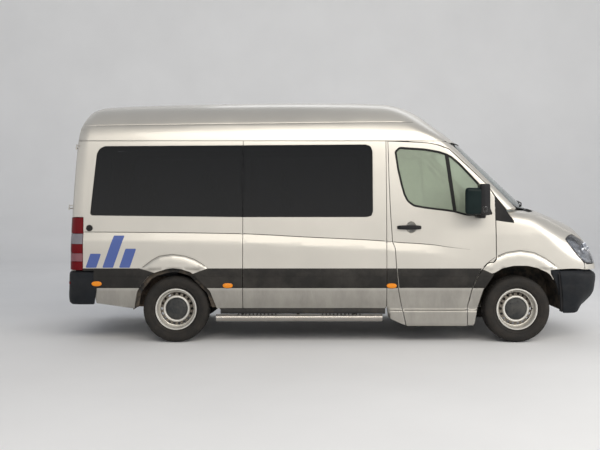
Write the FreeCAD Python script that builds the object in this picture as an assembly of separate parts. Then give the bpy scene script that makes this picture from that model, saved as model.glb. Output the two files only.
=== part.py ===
import FreeCAD, Part
import math, os

# High-roof minibus, front towards +X, its left side towards +Y, +Z up.
# Origin on the ground under the centre of the overall length. All sizes in mm.

V = FreeCAD.Vector
os.makedirs("parts", exist_ok=True)

# ---- driving dimensions -------------------------------------------------
LENGTH = 5910.0          # overall length over both bumpers
WIDTH = 1993.0           # overall width without mirrors
WHEELBASE = 3665.0
X_REAR = -1714.0         # rear axle
X_FRONT = X_REAR + WHEELBASE
TAIL = -LENGTH / 2
NOSE = LENGTH / 2
TYRE_R, TYRE_W = 356.0, 235.0
RIM_R, RIM_W = 214.0, 190.0
Y_FRONT, Y_REAR = 852.0, 850.0      # tyre centre planes
Y_KING = 790.0                      # steering axis
GAP = 6.0                # shut line between panels
WALL = 45.0              # side wall and door thickness
ROOF_T = 40.0
GLASS_IN, GLASS_T = 4.0, 6.0        # glass outer face below the paint, thickness
Z_SILL = 363.0           # lower edge of the body side
Z_FLOOR, FLOOR_T = 690.0, 60.0
Z_BELT_SEAM = 1160.0
Z_DOOR_LOW = 182.0       # the front doors cover the cab step

# ---- body section table --------------------------------------------------
# columns: x | inset | sill_y | wide_y | belt_y | gutter_y crease_y edge_y | edge_z top_z | lean
COLS = ("x", "inset", "sill", "wide", "belt", "gutter", "crease", "edge", "edge_z", "top_z", "lean")
BODY = [
    (-2915, 75, 940, 980, 968, 888, 850, 690, 2590, 2660, 1),
    (-2893, 28, 940, 980, 968, 888, 850, 690, 2590, 2660, 1),
    (-2845,  0, 940, 980, 968, 888, 850, 690, 2590, 2655, 1),
    (-2300,  0, 940, 980, 968, 888, 850, 690, 2595, 2668, 0),
    ( -400,  0, 940, 980, 968, 888, 850, 690, 2603, 2685, 0),
    (  560,  0, 940, 980, 968, 888, 850, 690, 2590, 2672, 0),
    ( 1000,  0, 940, 980, 968, 868, 828, 665, 2560, 2640, 0),
    ( 1500,  0, 940, 980, 966, 835, 795, 640, 2560, 2640, 0),
    ( 2400,  0, 935, 975, 940, 775, 735, 600, 2560, 2640, 0),
]
Z_WIDE = (560.0, 800.0)
Z_BELT, Z_GUTTER, Z_CREASE = 1160.0, 2159.0, 2352.0
LEAN_FROM, LEAN = 1047.0, 0.113      # the tail leans forward above the lamps

# ---- front end table -----------------------------------------------------
# columns: x | sill_y wide_y | belt_y belt_z | shoulder_y shoulder_z | line_y line_z | top_z
NOSE_TABLE = [
    (1480, 940, 980, 966, 1160, 950, 1330, 830, 1440, 1500),
    (1760, 940, 980, 964, 1155, 944, 1310, 815, 1435, 1490),
    (2077, 938, 976, 952, 1110, 915, 1280, 770, 1416, 1468),
    (2300, 930, 965, 938, 1060, 895, 1185, 755, 1318, 1418),
    (2562, 905, 938, 905,  960, 868, 1050, 735, 1172, 1326),
    (2700, 868, 900, 868,  890, 830,  960, 695, 1085, 1262),
    (2795, 810, 842, 815,  840, 775,  890, 630, 1000, 1206),
    (2862, 730, 762, 735,  810, 690,  850, 545,  935, 1060),
    (2900, 640, 672, 650,  790, 610,  810, 480,  860,  900),
]

# ---- windscreen: an arc in plan swept up a straight slope -----------------
WS_R, WS_X, WS_Z = 1500.0, 2259.0, 1425.0
WS_SLOPE = math.radians(43.2)
CAP_SLOPE = math.radians(35.5)       # front of the high roof
CAP_X, CAP_Z = 1447.0, 2188.0

# ---- side outlines, x and z ----------------------------------------------
DOOR = [(572, 2165), (790, 2157), (985, 2148), (1105, 2128), (1236, 2080), (1626, 1712), (1716, 1568), (1716, 914),
        (1559, 778), (1499, 689), (1454, 568), (1409, 388), (1404, 336), (1404, Z_DOOR_LOW),
        (757, Z_DOOR_LOW), (715, 371), (676, 564), (657, 781), (640, 1020), (613, 1082), (593, 1410), (580, 1755)]
DOOR_WINDOW = [(640, 2056), (692, 2105), (973, 2087), (1124, 2061), (1200, 2036), (1262, 2005), (1349, 1931), (1567, 1696),
               (1690, 1375), (1415, 1360), (1265, 1401), (964, 1438), (838, 1461), (769, 1513), (732, 1590), (703, 1696), (667, 1863)]
SIDE_WINDOW = [(-2634, 1365), (-2575, 2010), (-2545, 2068), (-2490, 2094), (330, 2112), (382, 2094), (402, 2040), (402, 1410), (385, 1362), (340, 1348)]
BAY = (-995.0, 548.0)                # sliding door bay on the left side
FRONT_ARCH = [(-470, -180), (-441, -5), (-367, 234), (-247, 415), (-156, 467), (-51, 490), (98, 490), (219, 460), (339, 407), (414, 294), (444, 176), (464, 5), (464, -180)]
REAR_ARCH = [(-447, -180), (-447, 22), (-409, 215), (-377, 268), (-292, 375), (-214, 418), (-105, 451), (-22, 462), (66, 451), (168, 418), (264, 322), (371, 215), (446, 12), (450, -180)]
Z_HUB = 338.0
FRONT_FLARE = [(-410, 300), (-397, 442), (-337, 511), (-247, 578), (-127, 631), (23, 653), (173, 631), (294, 571), (398, 496), (451, 436), (470, 300)]
REAR_FLARE = [(-420, 300), (-377, 453), (-254, 547), (-174, 592), (-35, 611), (99, 594), (202, 557), (284, 509), (348, 458), (400, 300)]


def shape_face(points):
    return Part.Face(Part.makePolygon([V(*p) for p in points] + [V(*points[0])]))


def side_prism(outline, y0, y1):
    """Prism along Y over an outline given in x and z."""
    return shape_face([(x, y0, z) for x, z in outline]).extrude(V(0, y1 - y0, 0))


def top_prism(outline, z0, z1):
    return shape_face([(x, y, z0) for x, y in outline]).extrude(V(0, 0, z1 - z0))


def end_prism(outline, x0, x1):
    """Prism along X over an outline given in y and z."""
    return shape_face([(x0, y, z) for y, z in outline]).extrude(V(x1 - x0, 0, 0))


def box(x0, x1, y0, y1, z0, z1):
    return Part.makeBox(x1 - x0, y1 - y0, z1 - z0, V(x0, y0, z0))


def mirrored(shape):
    return shape.mirror(V(0, 0, 0), V(0, 1, 0))


def offset_outline(outline, d):
    """Convex-ish outline grown by d (shrunk when negative), mitred."""
    n = len(outline)
    area = sum(outline[i][0] * outline[(i + 1) % n][1] - outline[(i + 1) % n][0] * outline[i][1] for i in range(n))
    s = 1.0 if area > 0 else -1.0
    out = []
    for i in range(n):
        (ax, az), (bx, bz), (cx, cz) = outline[i - 1], outline[i], outline[(i + 1) % n]
        u = (bx - ax, bz - az); v = (cx - bx, cz - bz)
        lu = math.hypot(*u); lv = math.hypot(*v)
        n1 = (s * u[1] / lu, -s * u[0] / lu); n2 = (s * v[1] / lv, -s * v[0] / lv)
        k = 1 + n1[0] * n2[0] + n1[1] * n2[1]
        out.append((bx + d * (n1[0] + n2[0]) / k, bz + d * (n1[1] + n2[1]) / k))
    return out


def around(outline, x0, z0=Z_HUB):
    return [(x0 + x, z0 + z) for x, z in outline]


def solid_of(shape):
    """One clean solid, or a compound when the piece has several."""
    s = [x for x in shape.Solids if x.Volume > 500]
    return s[0] if len(s) == 1 else Part.makeCompound(s)


def largest(shape):
    return max(shape.Solids, key=lambda s: s.Volume)


def lean_at(z):
    return (z - LEAN_FROM) * LEAN


def body_wire(row, t):
    r = dict(zip(COLS, row))
    q = t + r["inset"]
    pts = [(r["sill"] - q, Z_SILL + t), (r["wide"] - q, Z_WIDE[0]), (r["wide"] - q, Z_WIDE[1]), (r["belt"] - q, Z_BELT),
           (r["gutter"] - q, Z_GUTTER), (r["crease"] - q, Z_CREASE)]
    edge = (r["edge"] - q * 0.6, r["edge_z"] - q * 0.85)
    a, b = pts[-1], edge
    mid = ((a[0] + b[0]) / 2 + 0.13 * (b[1] - a[1]), (a[1] + b[1]) / 2 + 0.13 * (a[0] - b[0]))
    dx = t if r["inset"] > 50 else 0.0
    P = lambda y, z: V(r["x"] + dx + r["lean"] * lean_at(z), y, z)
    e = []
    for p0, p1 in zip(pts, pts[1:]):
        e.append(Part.LineSegment(P(*p0), P(*p1)).toShape())
    e.append(Part.Arc(P(*a), P(*mid), P(*b)).toShape())
    e.append(Part.Arc(P(*b), P(0, r["top_z"] - q), P(-b[0], b[1])).toShape())
    e.append(Part.Arc(P(-b[0], b[1]), P(-mid[0], mid[1]), P(-a[0], a[1])).toShape())
    for p0, p1 in zip(pts[::-1], pts[-2::-1]):
        e.append(Part.LineSegment(P(-p0[0], p0[1]), P(-p1[0], p1[1])).toShape())
    e.append(Part.LineSegment(P(-pts[0][0], pts[0][1]), P(*pts[0])).toShape())
    return Part.Wire(e)


WS_FACETS = 16


def plan_arc(xf, half):
    """Points of the windscreen's plan arc, as chords, from -half to half."""
    top = math.asin(half / WS_R)
    return [(xf - WS_R * (1 - math.cos(top * k / (WS_FACETS / 2))), WS_R * math.sin(top * k / (WS_FACETS / 2))) for k in range(-WS_FACETS // 2, WS_FACETS // 2 + 1)]


def plan_arc_prism(x0, z0, slope, t, height, back=-3500.0):
    """Everything behind an arc of radius WS_R in plan, swept up and back along a slope."""
    pts = plan_arc(x0 - t / math.sin(slope), 1085.0)
    face = shape_face([(x, y, z0) for x, y in pts] + [(back, 1085, z0), (back, -1085, z0)])
    return face.extrude(V(-height / math.tan(slope), 0, height))


# ahead of the door and below the wing line the body belongs to the front end
WING_LINE = [(1720, 1315), (1925, 1283), (1826, 1430)]


def cabin_volume(t):
    """The body behind the windscreen, shrunk by t."""
    loft = Part.makeLoft([body_wire(r, t) for r in BODY], True, True)
    low = 1500.0
    ws = plan_arc_prism(WS_X + low / math.tan(WS_SLOPE), WS_Z - low, WS_SLOPE, t, 3200.0)
    cap = plan_arc_prism(CAP_X + 2200.0 / math.tan(CAP_SLOPE), CAP_Z - 2200.0, CAP_SLOPE, t, 3000.0)
    upright = box(BODY[0][0] + t, 2390, -1100, 1100, 300, 2750)
    ahead = side_prism([(WING_LINE[0][0], 0)] + WING_LINE + [(3200, WING_LINE[-1][1]), (3200, 0)], -1300, 1300)
    return loft.common(upright).common(ws).common(cap).cut(ahead)


def nose_wire(row, t):
    x, sill, wide, by, bz, hy, hz, ly, lz, top = row
    pts = [(sill - t, Z_SILL + t), (wide - t, Z_WIDE[0]), (wide - t, min(Z_WIDE[1], bz - 25)), (by - t, bz), (hy - t, hz - t * 0.4), (ly - t * 0.5, lz - t)]
    P = lambda y, z: V(x, y, z)
    e = [Part.LineSegment(P(*a), P(*b)).toShape() for a, b in zip(pts, pts[1:])]
    b = pts[-1]
    e.append(Part.Arc(P(*b), P(0, top - t), P(-b[0], b[1])).toShape())
    for p0, p1 in zip(pts[::-1], pts[-2::-1]):
        e.append(Part.LineSegment(P(-p0[0], p0[1]), P(-p1[0], p1[1])).toShape())
    e.append(Part.LineSegment(P(-pts[0][0], pts[0][1]), P(*pts[0])).toShape())
    return Part.Wire(e)


def nose_volume(t):
    rows = [list(r) for r in NOSE_TABLE]
    for row, share in zip(rows[-3:], (0.3, 0.7, 1.0)):
        row[0] -= t * share
    return Part.makeLoft([nose_wire(r, t) for r in rows], True, True)


NODES = {}


def keep(name, shape):
    NODES[name] = solid_of(shape)


# ---- cabin shell -----------------------------------------------------------
cab0, cabw = cabin_volume(0), cabin_volume(WALL)
shell = cab0.cut(cabw)
glass_skin = cabin_volume(GLASS_IN).cut(cabin_volume(GLASS_IN + GLASS_T))

RIGHT, LEFT = (-1200.0, -300.0), (300.0, 1200.0)
door_hole = offset_outline(DOOR, GAP)
arch_f = side_prism(around(FRONT_ARCH, X_FRONT), -1200, 1200)
arch_r = side_prism(around(REAR_ARCH, X_REAR), -1200, 1200)

# the wall and roof part along the gutter; the roof ends at the windscreen header
Z_ROOF_SEAM = 2171.0
X_TAIL_POST = -2715.0        # the posts beside the rear doors
roof_zone = box(-3000, 1480, -1100, 1100, Z_ROOF_SEAM, 2800)
# rear doorway, seen from behind: y and z
REAR_DOORWAY = [(-850, 548), (-806, 2290), (-730, 2345), (730, 2345), (806, 2290), (850, 548)]
doorway = end_prism(REAR_DOORWAY, -3100, -2620)
windscreen_zone = plan_arc_prism(WS_X + 1000.0, WS_Z - 1000 * math.tan(WS_SLOPE), WS_SLOPE, 60, 3200.0)

# glass outline of the windscreen seen from the front (y, z)
WS_OUTLINE = [(-872, 1452), (-768, 2105), (-660, 2150), (660, 2150), (768, 2105), (872, 1452), (700, 1437), (-700, 1437)]
ws_hole = end_prism(WS_OUTLINE, 1150, 2500)
ws_front = end_prism(offset_outline(WS_OUTLINE, -3), 1150, 2500)

roof = shell.common(roof_zone).cut(doorway).cut(ws_hole)
keep("roof", largest(roof))

wall_zone = box(-3000, 2300, -1100, 1100, Z_SILL - 5, Z_ROOF_SEAM - 1)
walls = shell.common(wall_zone).cut(doorway).cut(ws_hole).cut(arch_f).cut(arch_r)
# nothing of the shell is kept below the floor between the side skins
walls = walls.cut(box(-3000, 2400, -880, 880, 300, Z_FLOOR + 2))
for name, (y0, y1) in (("side_wall_right", RIGHT), ("side_wall_left", LEFT)):
    half = walls.common(box(-3000, 2300, y0, y1, 0, 2800))
    half = half.cut(side_prism(door_hole, y0, y1)).cut(side_prism(SIDE_WINDOW, y0, y1))
    half = half.cut(side_prism([(1350, 0), (1350, Z_FLOOR), (1800, Z_FLOOR + 500), (1800, 0)], y0, y1))
    sgn = -1 if name.endswith("right") else 1
    flare = side_prism(around(REAR_FLARE, X_REAR), min(sgn * 950, sgn * WIDTH / 2), max(sgn * 950, sgn * WIDTH / 2)).cut(arch_r)
    half = half.fuse(flare.cut(box(-3000, 0, -1200, 1200, 300, Z_SILL)))
    if name.endswith("left"):
        half = half.cut(box(BAY[0], BAY[1], y0, y1, 0, Z_ROOF_SEAM + 5))
    keep(name, Part.makeCompound([s for s in half.Solids if s.Volume > 2.0e5]))

sliding = walls.common(box(BAY[0] + GAP, BAY[1] - GAP, 300, 1200, Z_SILL, Z_ROOF_SEAM - GAP)).cut(side_prism(SIDE_WINDOW, 300, 1200))
keep("sliding_door", largest(sliding))

# ---- glass -------------------------------------------------------------------
win = offset_outline(SIDE_WINDOW, -2)
panes = []
for x0, x1 in ((-2700, BAY[0] - 5), (BAY[0] + 5, 500)):
    for y0, y1 in (RIGHT, LEFT):
        panes += glass_skin.common(side_prism(win, y0, y1)).common(box(x0, x1, y0, y1, 1200, 2300)).Solids
keep("side_glass", Part.makeCompound(panes))
keep("windscreen", largest(glass_skin.common(ws_front)))

# plan of the mirror housing, x and y
MIRROR = [(1592, 1020), (1598, 1075), (1570, 1185), (1500, 1226), (1420, 1228), (1388, 1205), (1396, 1180), (1478, 1075), (1500, 1020)]

# ---- front doors ---------------------------------------------------------------
low_skin = box(640, 1500, -1020, -975, 0, 520)
for side, (y0, y1) in (("right", RIGHT), ("left", LEFT)):
    # below the sill the door runs down and out over the cab step
    sgn = -1 if side == "right" else 1
    step_cover = end_prism([(sgn * 980, 520), (sgn * 1004, 360), (sgn * 1010, 182), (sgn * 975, 182), (sgn * 940, 360), (sgn * 930, 520)], 640, 1500)
    band = shell.common(box(500, 1800, min(y0, y1), max(y0, y1), 480, 2300))
    d = band.fuse(step_cover).common(side_prism(DOOR, y0, y1)).cut(side_prism(DOOR_WINDOW, y0, y1))
    keep("front_door_" + side, largest(d.removeSplitter()))
    g = glass_skin.common(side_prism(offset_outline(DOOR_WINDOW, -2), y0, y1))
    keep("front_door_glass_" + side, largest(g))
    m = top_prism(MIRROR, 1372, 1690).fuse(box(1512, 1592, 958, 1040, 1335, 1400))
    m = largest(m.removeSplitter())
    keep("mirror_" + side, m if side == "left" else mirrored(m))

# ---- rear doors -------------------------------------------------------------------
tail_solid = shell.common(box(-3000, -2600, -1000, 1000, 548, 2400))
SLAB = [(-GAP / 2, 556), (-GAP / 2, 2333), (-724, 2333), (-796, 2282), (-841, 556)]
REAR_WINDOW = [(-85, 1365), (-85, 2040), (-120, 2075), (-690, 2075), (-728, 2035), (-750, 1400), (-715, 1365)]

# rear door hinges: the axis leans with the tail posts
HINGE_AT, HINGE_DIR = V(-2951.6, -862.0, 900.0), V(0.1130, 0.0280, 1.0)
HINGE_Z = (640.0, 1440.0, 2096.0)
HINGE_DIR.normalize()


def knuckle(z, sgn, door_part):
    """One hinge knuckle on the axis at height z, with the leaf that carries it. sgn is -1 on the right."""
    c = HINGE_AT + HINGE_DIR * ((z - HINGE_AT.z) / HINGE_DIR.z)
    if door_part:
        k = Part.makeCylinder(9, 46, c - HINGE_DIR * 23, HINGE_DIR)
        k = k.fuse(box(c.x - 4, c.x + 4, c.y, c.y + 52, z - 22, z + 22)).fuse(box(c.x - 4, c.x + 50, c.y + 34, c.y + 54, z - 22, z + 22))
    else:
        k = Part.makeCylinder(9, 37, c + HINGE_DIR * 25, HINGE_DIR)
        k = k.fuse(box(c.x - 4, c.x + 8, c.y - 50, c.y, z + 42, z + 60)).fuse(box(c.x - 4, c.x + 54, c.y - 54, c.y - 30, z + 42, z + 60))
    return k if sgn < 0 else mirrored(k)


tail_glass = glass_skin.common(box(-3000, -2600, -1000, 1000, 1200, 2300))
for side, s in (("right", 1), ("left", -1)):
    slab = end_prism([(s * y, z) for y, z in SLAB], -3050, -2700)
    d = cab0.common(slab).cut(cabin_volume(WALL + 5))
    win2 = [(s * y, z) for y, z in REAR_WINDOW]
    d = d.common(box(-3000, -2600, -1000, 1000, 500, 2400)).cut(end_prism(win2, -3050, -2600))
    d = largest(d)
    for z in HINGE_Z:
        d = d.fuse(knuckle(z, -s, True))
    keep("rear_door_" + side, largest(d))
    g = tail_glass.common(end_prism([(s * y, z) for y, z in offset_outline(REAR_WINDOW, -2)], -3050, -2600))
    keep("rear_door_glass_" + side, largest(g))

# ---- front end ----------------------------------------------------------------------
nose0, nose1 = nose_volume(0), nose_volume(12)
skin = nose0.cut(nose1)
LINE = [(2077, 770), (2300, 755), (2562, 735), (2700, 695), (2785, 640)]      # bonnet edge in plan


def arc_strip(dx0, dx1, half, z0, z1):
    """Plan strip between two copies of the windscreen's base arc."""
    front, rear = plan_arc(WS_X + dx1, half), plan_arc(WS_X + dx0, half)
    return top_prism(front + rear[::-1], z0, z1)


bonnet_plan = [(x, -y + 3) for x, y in LINE] + [(x, y - 3) for x, y in LINE[::-1]]
bonnet_zone = top_prism([(1900, -767)] + bonnet_plan + [(1900, 767)], 850, 1600)
bonnet = skin.common(bonnet_zone).cut(arc_strip(-900, 72, 800, 800, 1700))
keep("bonnet", largest(bonnet))

cowl = skin.common(arc_strip(-22, 64, 775, 1150, 1600))
keep("cowl", largest(cowl))

LAMP = [(2494, 1104), (2545, 1137), (2620, 1150), (2671, 1129), (2721, 1078), (2733, 1027), (2800, 880), (2800, 835),
        (2733, 832), (2689, 855), (2607, 947), (2564, 1003)]
lamps, wings = [], []
grille_zone = end_prism([(-560, 800), (-560, 1000), (-610, 1165), (610, 1165), (560, 1000), (560, 800)], 2750, 3000)
for s in (-1, 1):
    y0, y1 = (-1200, -500) if s < 0 else (500, 1200)
    wing = skin.common(box(1500, 2950, min(y0, y1), max(y0, y1), 555, 1600))
    wing = wing.common(side_prism([(1725, 550), (1725, 1308), (1933, 1275), (1836, 1424), (1850, 1440), (2950, 1440), (2950, 780), (2414, 780), (2414, 550)], y0, y1))
    wing = wing.cut(top_prism([(1900, s * 773)] + [(x, s * (y + 3)) for x, y in LINE] + [(3000, s * 600), (3000, 0), (1900, 0)], 700, 1700))
    wing = wing.cut(arch_f).cut(side_prism(offset_outline(LAMP, 4), y0, y1)).cut(arc_strip(-900, 64, 775, 800, 1700))
    wing = wing.cut(box(2780, 3000, -1000, 1000, 700, 1300)).cut(cab0)
    flare = side_prism(around(FRONT_FLARE, X_FRONT), min(s * 958, s * WIDTH / 2), max(s * 958, s * WIDTH / 2)).cut(arch_f)
    flare = flare.cut(side_prism(offset_outline(DOOR, 20), -1200, 1200)).cut(box(2402, 2600, -1200, 1200, 300, 1200)).cut(box(1400, 2500, -1200, 1200, 300, 350))
    wings.append(largest(wing.fuse(flare)))
    lamp_body = nose0.cut(nose_volume(90)).common(side_prism(LAMP, y0, y1)).cut(grille_zone)
    lamp_body = lamp_body.cut(top_prism([(1900, s * 773)] + [(x, s * (y + 4)) for x, y in LINE] + [(2850, s * 590), (2850, 0), (1900, 0)], 700, 1700))
    lamps.append(largest(lamp_body))
keep("front_wings", Part.makeCompound(wings))
keep("headlamps", Part.makeCompound(lamps))
grille = nose0.cut(nose_volume(45)).common(grille_zone).cut(box(2000, 2793, -1000, 1000, 700, 1400))
keep("grille", largest(grille))

# bumper: plan curve x against y, closed behind
BUMPER_PLAN = [(2430, 990), (2560, 985), (2690, 955), (2780, 900), (2850, 800), (2890, 700), (2925, 500), (2946, 250), (NOSE, 0)]
outer_b = BUMPER_PLAN + [(x, -y) for x, y in BUMPER_PLAN[-2::-1]]
inner_b = offset_outline(outer_b + [(2430, 0)], -60)[:len(outer_b)]
ring = top_prism(outer_b + [(x, y) for x, y in [(inner_b[i][0], inner_b[i][1]) for i in range(len(outer_b) - 1, -1, -1)]], 330, 772)
SIDE_CUT = [(2300, 300), (2300, 800), (2402, 772), (2414, 620), (2414, 342), (2440, 300)]
bumper = ring.cut(side_prism(SIDE_CUT, -1100, 1100))
bumper = bumper.cut(side_prism([(2400, 300), (2500, 300), (2960, 460), (2960, 300)], -1100, 1100))
bumper = bumper.cut(side_prism([(2880, 772), (3000, 772), (3000, 700), (2925, 772)], -1100, 1100))
tow_front = Part.makeCylinder(10.5, 90, V(NOSE - 95, 560, 560), V(1, 0, 0))
bumper = bumper.cut(tow_front)
keep("front_bumper", largest(bumper))

# ---- rear bumper and lamps ---------------------------------------------------------------
rb = box(TAIL, -2800, -850, 850, 428, 544)
for s in (-1, 1):
    corner = top_prism([(-2930, s * 858), (-2905, s * 955), (-2850, s * 990), (-2590, s * 990), (-2590, s * 930), (-2800, s * 920), (-2860, s * 858)], 428, 768)
    low = top_prism([(-2930, s * 840), (-2905, s * 955), (-2850, s * 990), (-2590, s * 990), (-2590, s * 930), (-2800, s * 920), (-2860, s * 840)], 428, 544)
    rb = rb.fuse(corner).fuse(low)
rb = largest(rb.removeSplitter())
for s in (-1, 1):
    rb = rb.fuse(knuckle(HINGE_Z[0], s, False))
rb = rb.cut(Part.makeCylinder(12.5, 120, V(TAIL - 10, -600, 486), V(1, 0, 0)))
keep("rear_bumper", largest(rb))

lamp_tail = []
for s in (-1, 1):
    z = cabin_volume(-3).cut(cabin_volume(40)).common(box(-3000, -2705, min(s * 855, s * 1000), max(s * 855, s * 1000), 780, 1343))
    lamp_tail.append(z)
lamp_cut = [box(-3000, -2701, min(s * 851, s * 1000), max(s * 851, s * 1000), 776, 1347) for s in (-1, 1)]
keep("tail_lamps", Part.makeCompound([largest(z) for z in lamp_tail]))
for n in ("side_wall_right", "side_wall_left"):
    w = NODES[n]
    for c in lamp_cut:
        w = w.cut(c)
    w = w.cut(box(-3000, -2590, -1100, 1100, 300, 772))
    for z in HINGE_Z[1:]:
        w = w.fuse(knuckle(z, -1 if n.endswith("right") else 1, False))
    NODES[n] = Part.makeCompound([s for s in w.Solids if s.Volume > 2.0e5])

# ---- cladding along the sides ----------------------------------------------------------------
CLAD = (572.0, 789.0)
clad = []
for s in (-1, 1):
    def strip(x0, x1, cut=None):
        b = box(x0, x1, min(s * 981, s * (WIDTH / 2)), max(s * 981, s * (WIDTH / 2)), CLAD[0], CLAD[1])
        if cut is not None:
            b = b.cut(cut)
        clad.append(largest(b))
    strip(-2584, X_REAR, side_prism(around(REAR_FLARE, X_REAR), -1200, 1200))
    strip(X_REAR, BAY[0] - 3, side_prism(around(REAR_FLARE, X_REAR), -1200, 1200))
    strip(BAY[0] + 3, BAY[1] - 3)
    strip(BAY[1] + 3, 640)
keep("side_cladding", Part.makeCompound(clad))

# ---- wheel houses ---------------------------------------------------------------------------------


def liner(outline, x0, y_in, y_out, wall=8.0):
    out = around(offset_outline(outline, 26), x0)
    inn = around(offset_outline(outline, 26 - wall), x0)
    keep_above = box(-3100, 3100, -1200, 1200, 345, 1200)
    shellp = side_prism(out, y_in, y_out).cut(side_prism(inn, y_in + wall, y_out + 5)).common(keep_above)
    return shellp


fl = largest(liner(FRONT_ARCH, X_FRONT, 505, 915))
keep("front_wheel_houses", Part.makeCompound([fl, mirrored(fl)]))
rl = largest(liner(REAR_ARCH, X_REAR, 640, 877).cut(Part.makeCylinder(168, 90, V(X_REAR, 620, TYRE_R), V(0, 1, 0))))
keep("rear_wheel_houses", Part.makeCompound([rl, mirrored(rl)]))
house_space = [side_prism(around(offset_outline(FRONT_ARCH, 27), X_FRONT), 504, 1000), side_prism(around(offset_outline(REAR_ARCH, 27), X_REAR), 639, 1000)]
house_space += [mirrored(h) for h in house_space]

# ---- floor, chassis, bulkhead -----------------------------------------------------------------------
floor = box(-2850, 1480, -870, 870, Z_FLOOR - FLOOR_T, Z_FLOOR).fuse(box(1480, 1880, -490, 490, Z_FLOOR - FLOOR_T, Z_FLOOR))
for h in house_space:
    floor = floor.cut(h)
for s in (-1, 1):
    floor = floor.cut(box(-2860, -2580, min(s * 850, s * 900), max(s * 850, s * 900), 600, 700))
keep("floor", largest(floor))
rails = []
RAIL = (400.0, 470.0)
for s in (-1, 1):
    r = box(-2796, 2700, min(s * RAIL[0], s * RAIL[1]), max(s * RAIL[0], s * RAIL[1]), 500, 628)
    rails.append(r)
frame = rails[0].fuse(rails[1])
for x in (-2790, -2300, -1300, -400, 500, 1300, 2640):
    frame = frame.fuse(box(x, x + 60, -RAIL[0] - 5, RAIL[0] + 5, 510, 600))
for x, y in ((-2500, 924), (-900, 924), (0, 924), (900, 900)):                       # outriggers to the sills
    for s in (-1, 1):
        frame = frame.fuse(box(x, x + 50, min(s * (RAIL[1] - 5), s * y), max(s * (RAIL[1] - 5), s * y), 540, 628))
frame = largest(frame)
keep("chassis_frame", frame)

BULK = [(-490, Z_FLOOR + 2), (-490, 838), (-890, 838), (-890, 1290), (-760, 1385), (0, 1415), (760, 1385), (890, 1290), (890, 838), (490, 838), (490, Z_FLOOR + 2)]
bulk = end_prism(BULK, 1884, 1900)
for h in house_space:
    bulk = bulk.cut(h)
keep("bulkhead", largest(bulk.cut(NODES["cowl"]).cut(NODES["front_wings"])))

# ---- side bars, engine, tank, exhaust, propeller shaft --------------------------------------------------
bars = []
for s in (-1, 1):
    b = Part.makeCylinder(38, 1585, V(-1200, s * 985, 272), V(1, 0, 0)).common(box(-1300, 500, min(s * 900, s * 1040), max(s * 900, s * 1040), 234, 310))
    for x in (-1050, -350, 300):
        b = b.fuse(box(x, x + 40, min(s * 866, s * 975), max(s * 866, s * 975), 262, 282)).fuse(box(x, x + 40, min(s * 866, s * 876), max(s * 866, s * 876), 262, 539))
    bars.append(largest(b))
keep("side_bars", Part.makeCompound(bars))

keep("engine", box(1960, 2560, -290, 290, 330, 1080))
tank = box(250, 1150, -390, -60, 300, 495)
keep("fuel_tank", tank.makeFillet(30, tank.Edges))
tube = [Part.makeCylinder(30, 3150, V(-1150, 200, 400), V(1, 0, 0)), Part.makeCylinder(85, 700, V(-150, 200, 400), V(1, 0, 0)),
        Part.makeCylinder(30, 560, V(-1150, 200, 400), V(0, 1, 0)).fuse(Part.makeSphere(30, V(-1150, 200, 400)))]
ex = tube[0].fuse(tube[1]).fuse(tube[2]).cut(box(1955, 2100, 0, 400, 300, 500)).cut(Part.makeCylinder(26, 60, V(-1150, 710, 400), V(0, 1, 0)))
keep("exhaust", largest(ex))
shaft = Part.makeCylinder(38, 1955 - (X_REAR + 150), V(X_REAR + 150, 0, 352), V(1, 0, 0.02))
keep("propeller_shaft", largest(shaft.common(box(X_REAR + 155, 1950, -60, 60, 250, 460))))

# ---- axles ----------------------------------------------------------------------------------------------
ax = Part.makeCylinder(48, 2 * 640, V(X_REAR, -640, TYRE_R), V(0, 1, 0))
ax = ax.fuse(Part.makeSphere(150, V(X_REAR, 0, TYRE_R)))
for s in (-1, 1):
    ax = ax.fuse(Part.makeCylinder(150, 60, V(X_REAR, s * 640, TYRE_R), V(0, s, 0)))
    ax = ax.fuse(Part.makeCylinder(30, 135, V(X_REAR, s * 695, TYRE_R), V(0, s, 0)))
keep("rear_axle", largest(ax.removeSplitter()))

leaves = []
for s in (-1, 1):
    y0, y1 = sorted((s * 520, s * 590))
    top, low = [(-640, 500), (-330, 442), (0, 408), (330, 442), (640, 500)], []
    arc_o = [(X_REAR + x, z + 14) for x, z in top] + [(X_REAR + x, z - 2) for x, z in top[::-1]]
    leaf = side_prism(arc_o, y0, y1)
    leaf = leaf.fuse(side_prism([(X_REAR - 60, 414), (X_REAR + 60, 414), (X_REAR + 60, 396), (X_REAR - 60, 396)], y0, y1))
    for x in (-640, 640):
        leaf = leaf.fuse(box(X_REAR + x - 18, X_REAR + x + 18, s * 555 - 35, s * 555 + 35, 495, 626))
        leaf = leaf.fuse(box(X_REAR + x - 18, X_REAR + x + 18, min(s * 472, s * 590), max(s * 472, s * 590), 600, 626))
    leaves.append(largest(leaf))
keep("leaf_springs", Part.makeCompound(leaves))
# the springs clamp on the axle tube
NODES["rear_axle"] = largest(NODES["rear_axle"].cut(NODES["leaf_springs"]))

sub = box(1850, 2050, -380, 380, 235, 320)
for s in (-1, 1):
    sub = sub.fuse(box(1860, 2040, min(s * 300, s * 470), max(s * 300, s * 470), 315, 498))
    arm = top_prism([(1840, s * 370), (2060, s * 370), (1976, s * 655), (1926, s * 655)], 236, 262)
    sub = sub.fuse(arm)
sub = largest(sub.cut(NODES["engine"]).cut(NODES["exhaust"]).cut(box(1700, 2100, -70, 70, 300, 500)))
keep("front_subframe", sub)

# ---- wheels ------------------------------------------------------------------------------------------------


def revolve(profile, axis_y=0.0):
    """Profile in radius and y, turned about the Y axis through the hub."""
    return shape_face([(r, y, 0) for r, y in profile]).revolve(V(0, 0, 0), V(0, 1, 0), 360)


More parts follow.
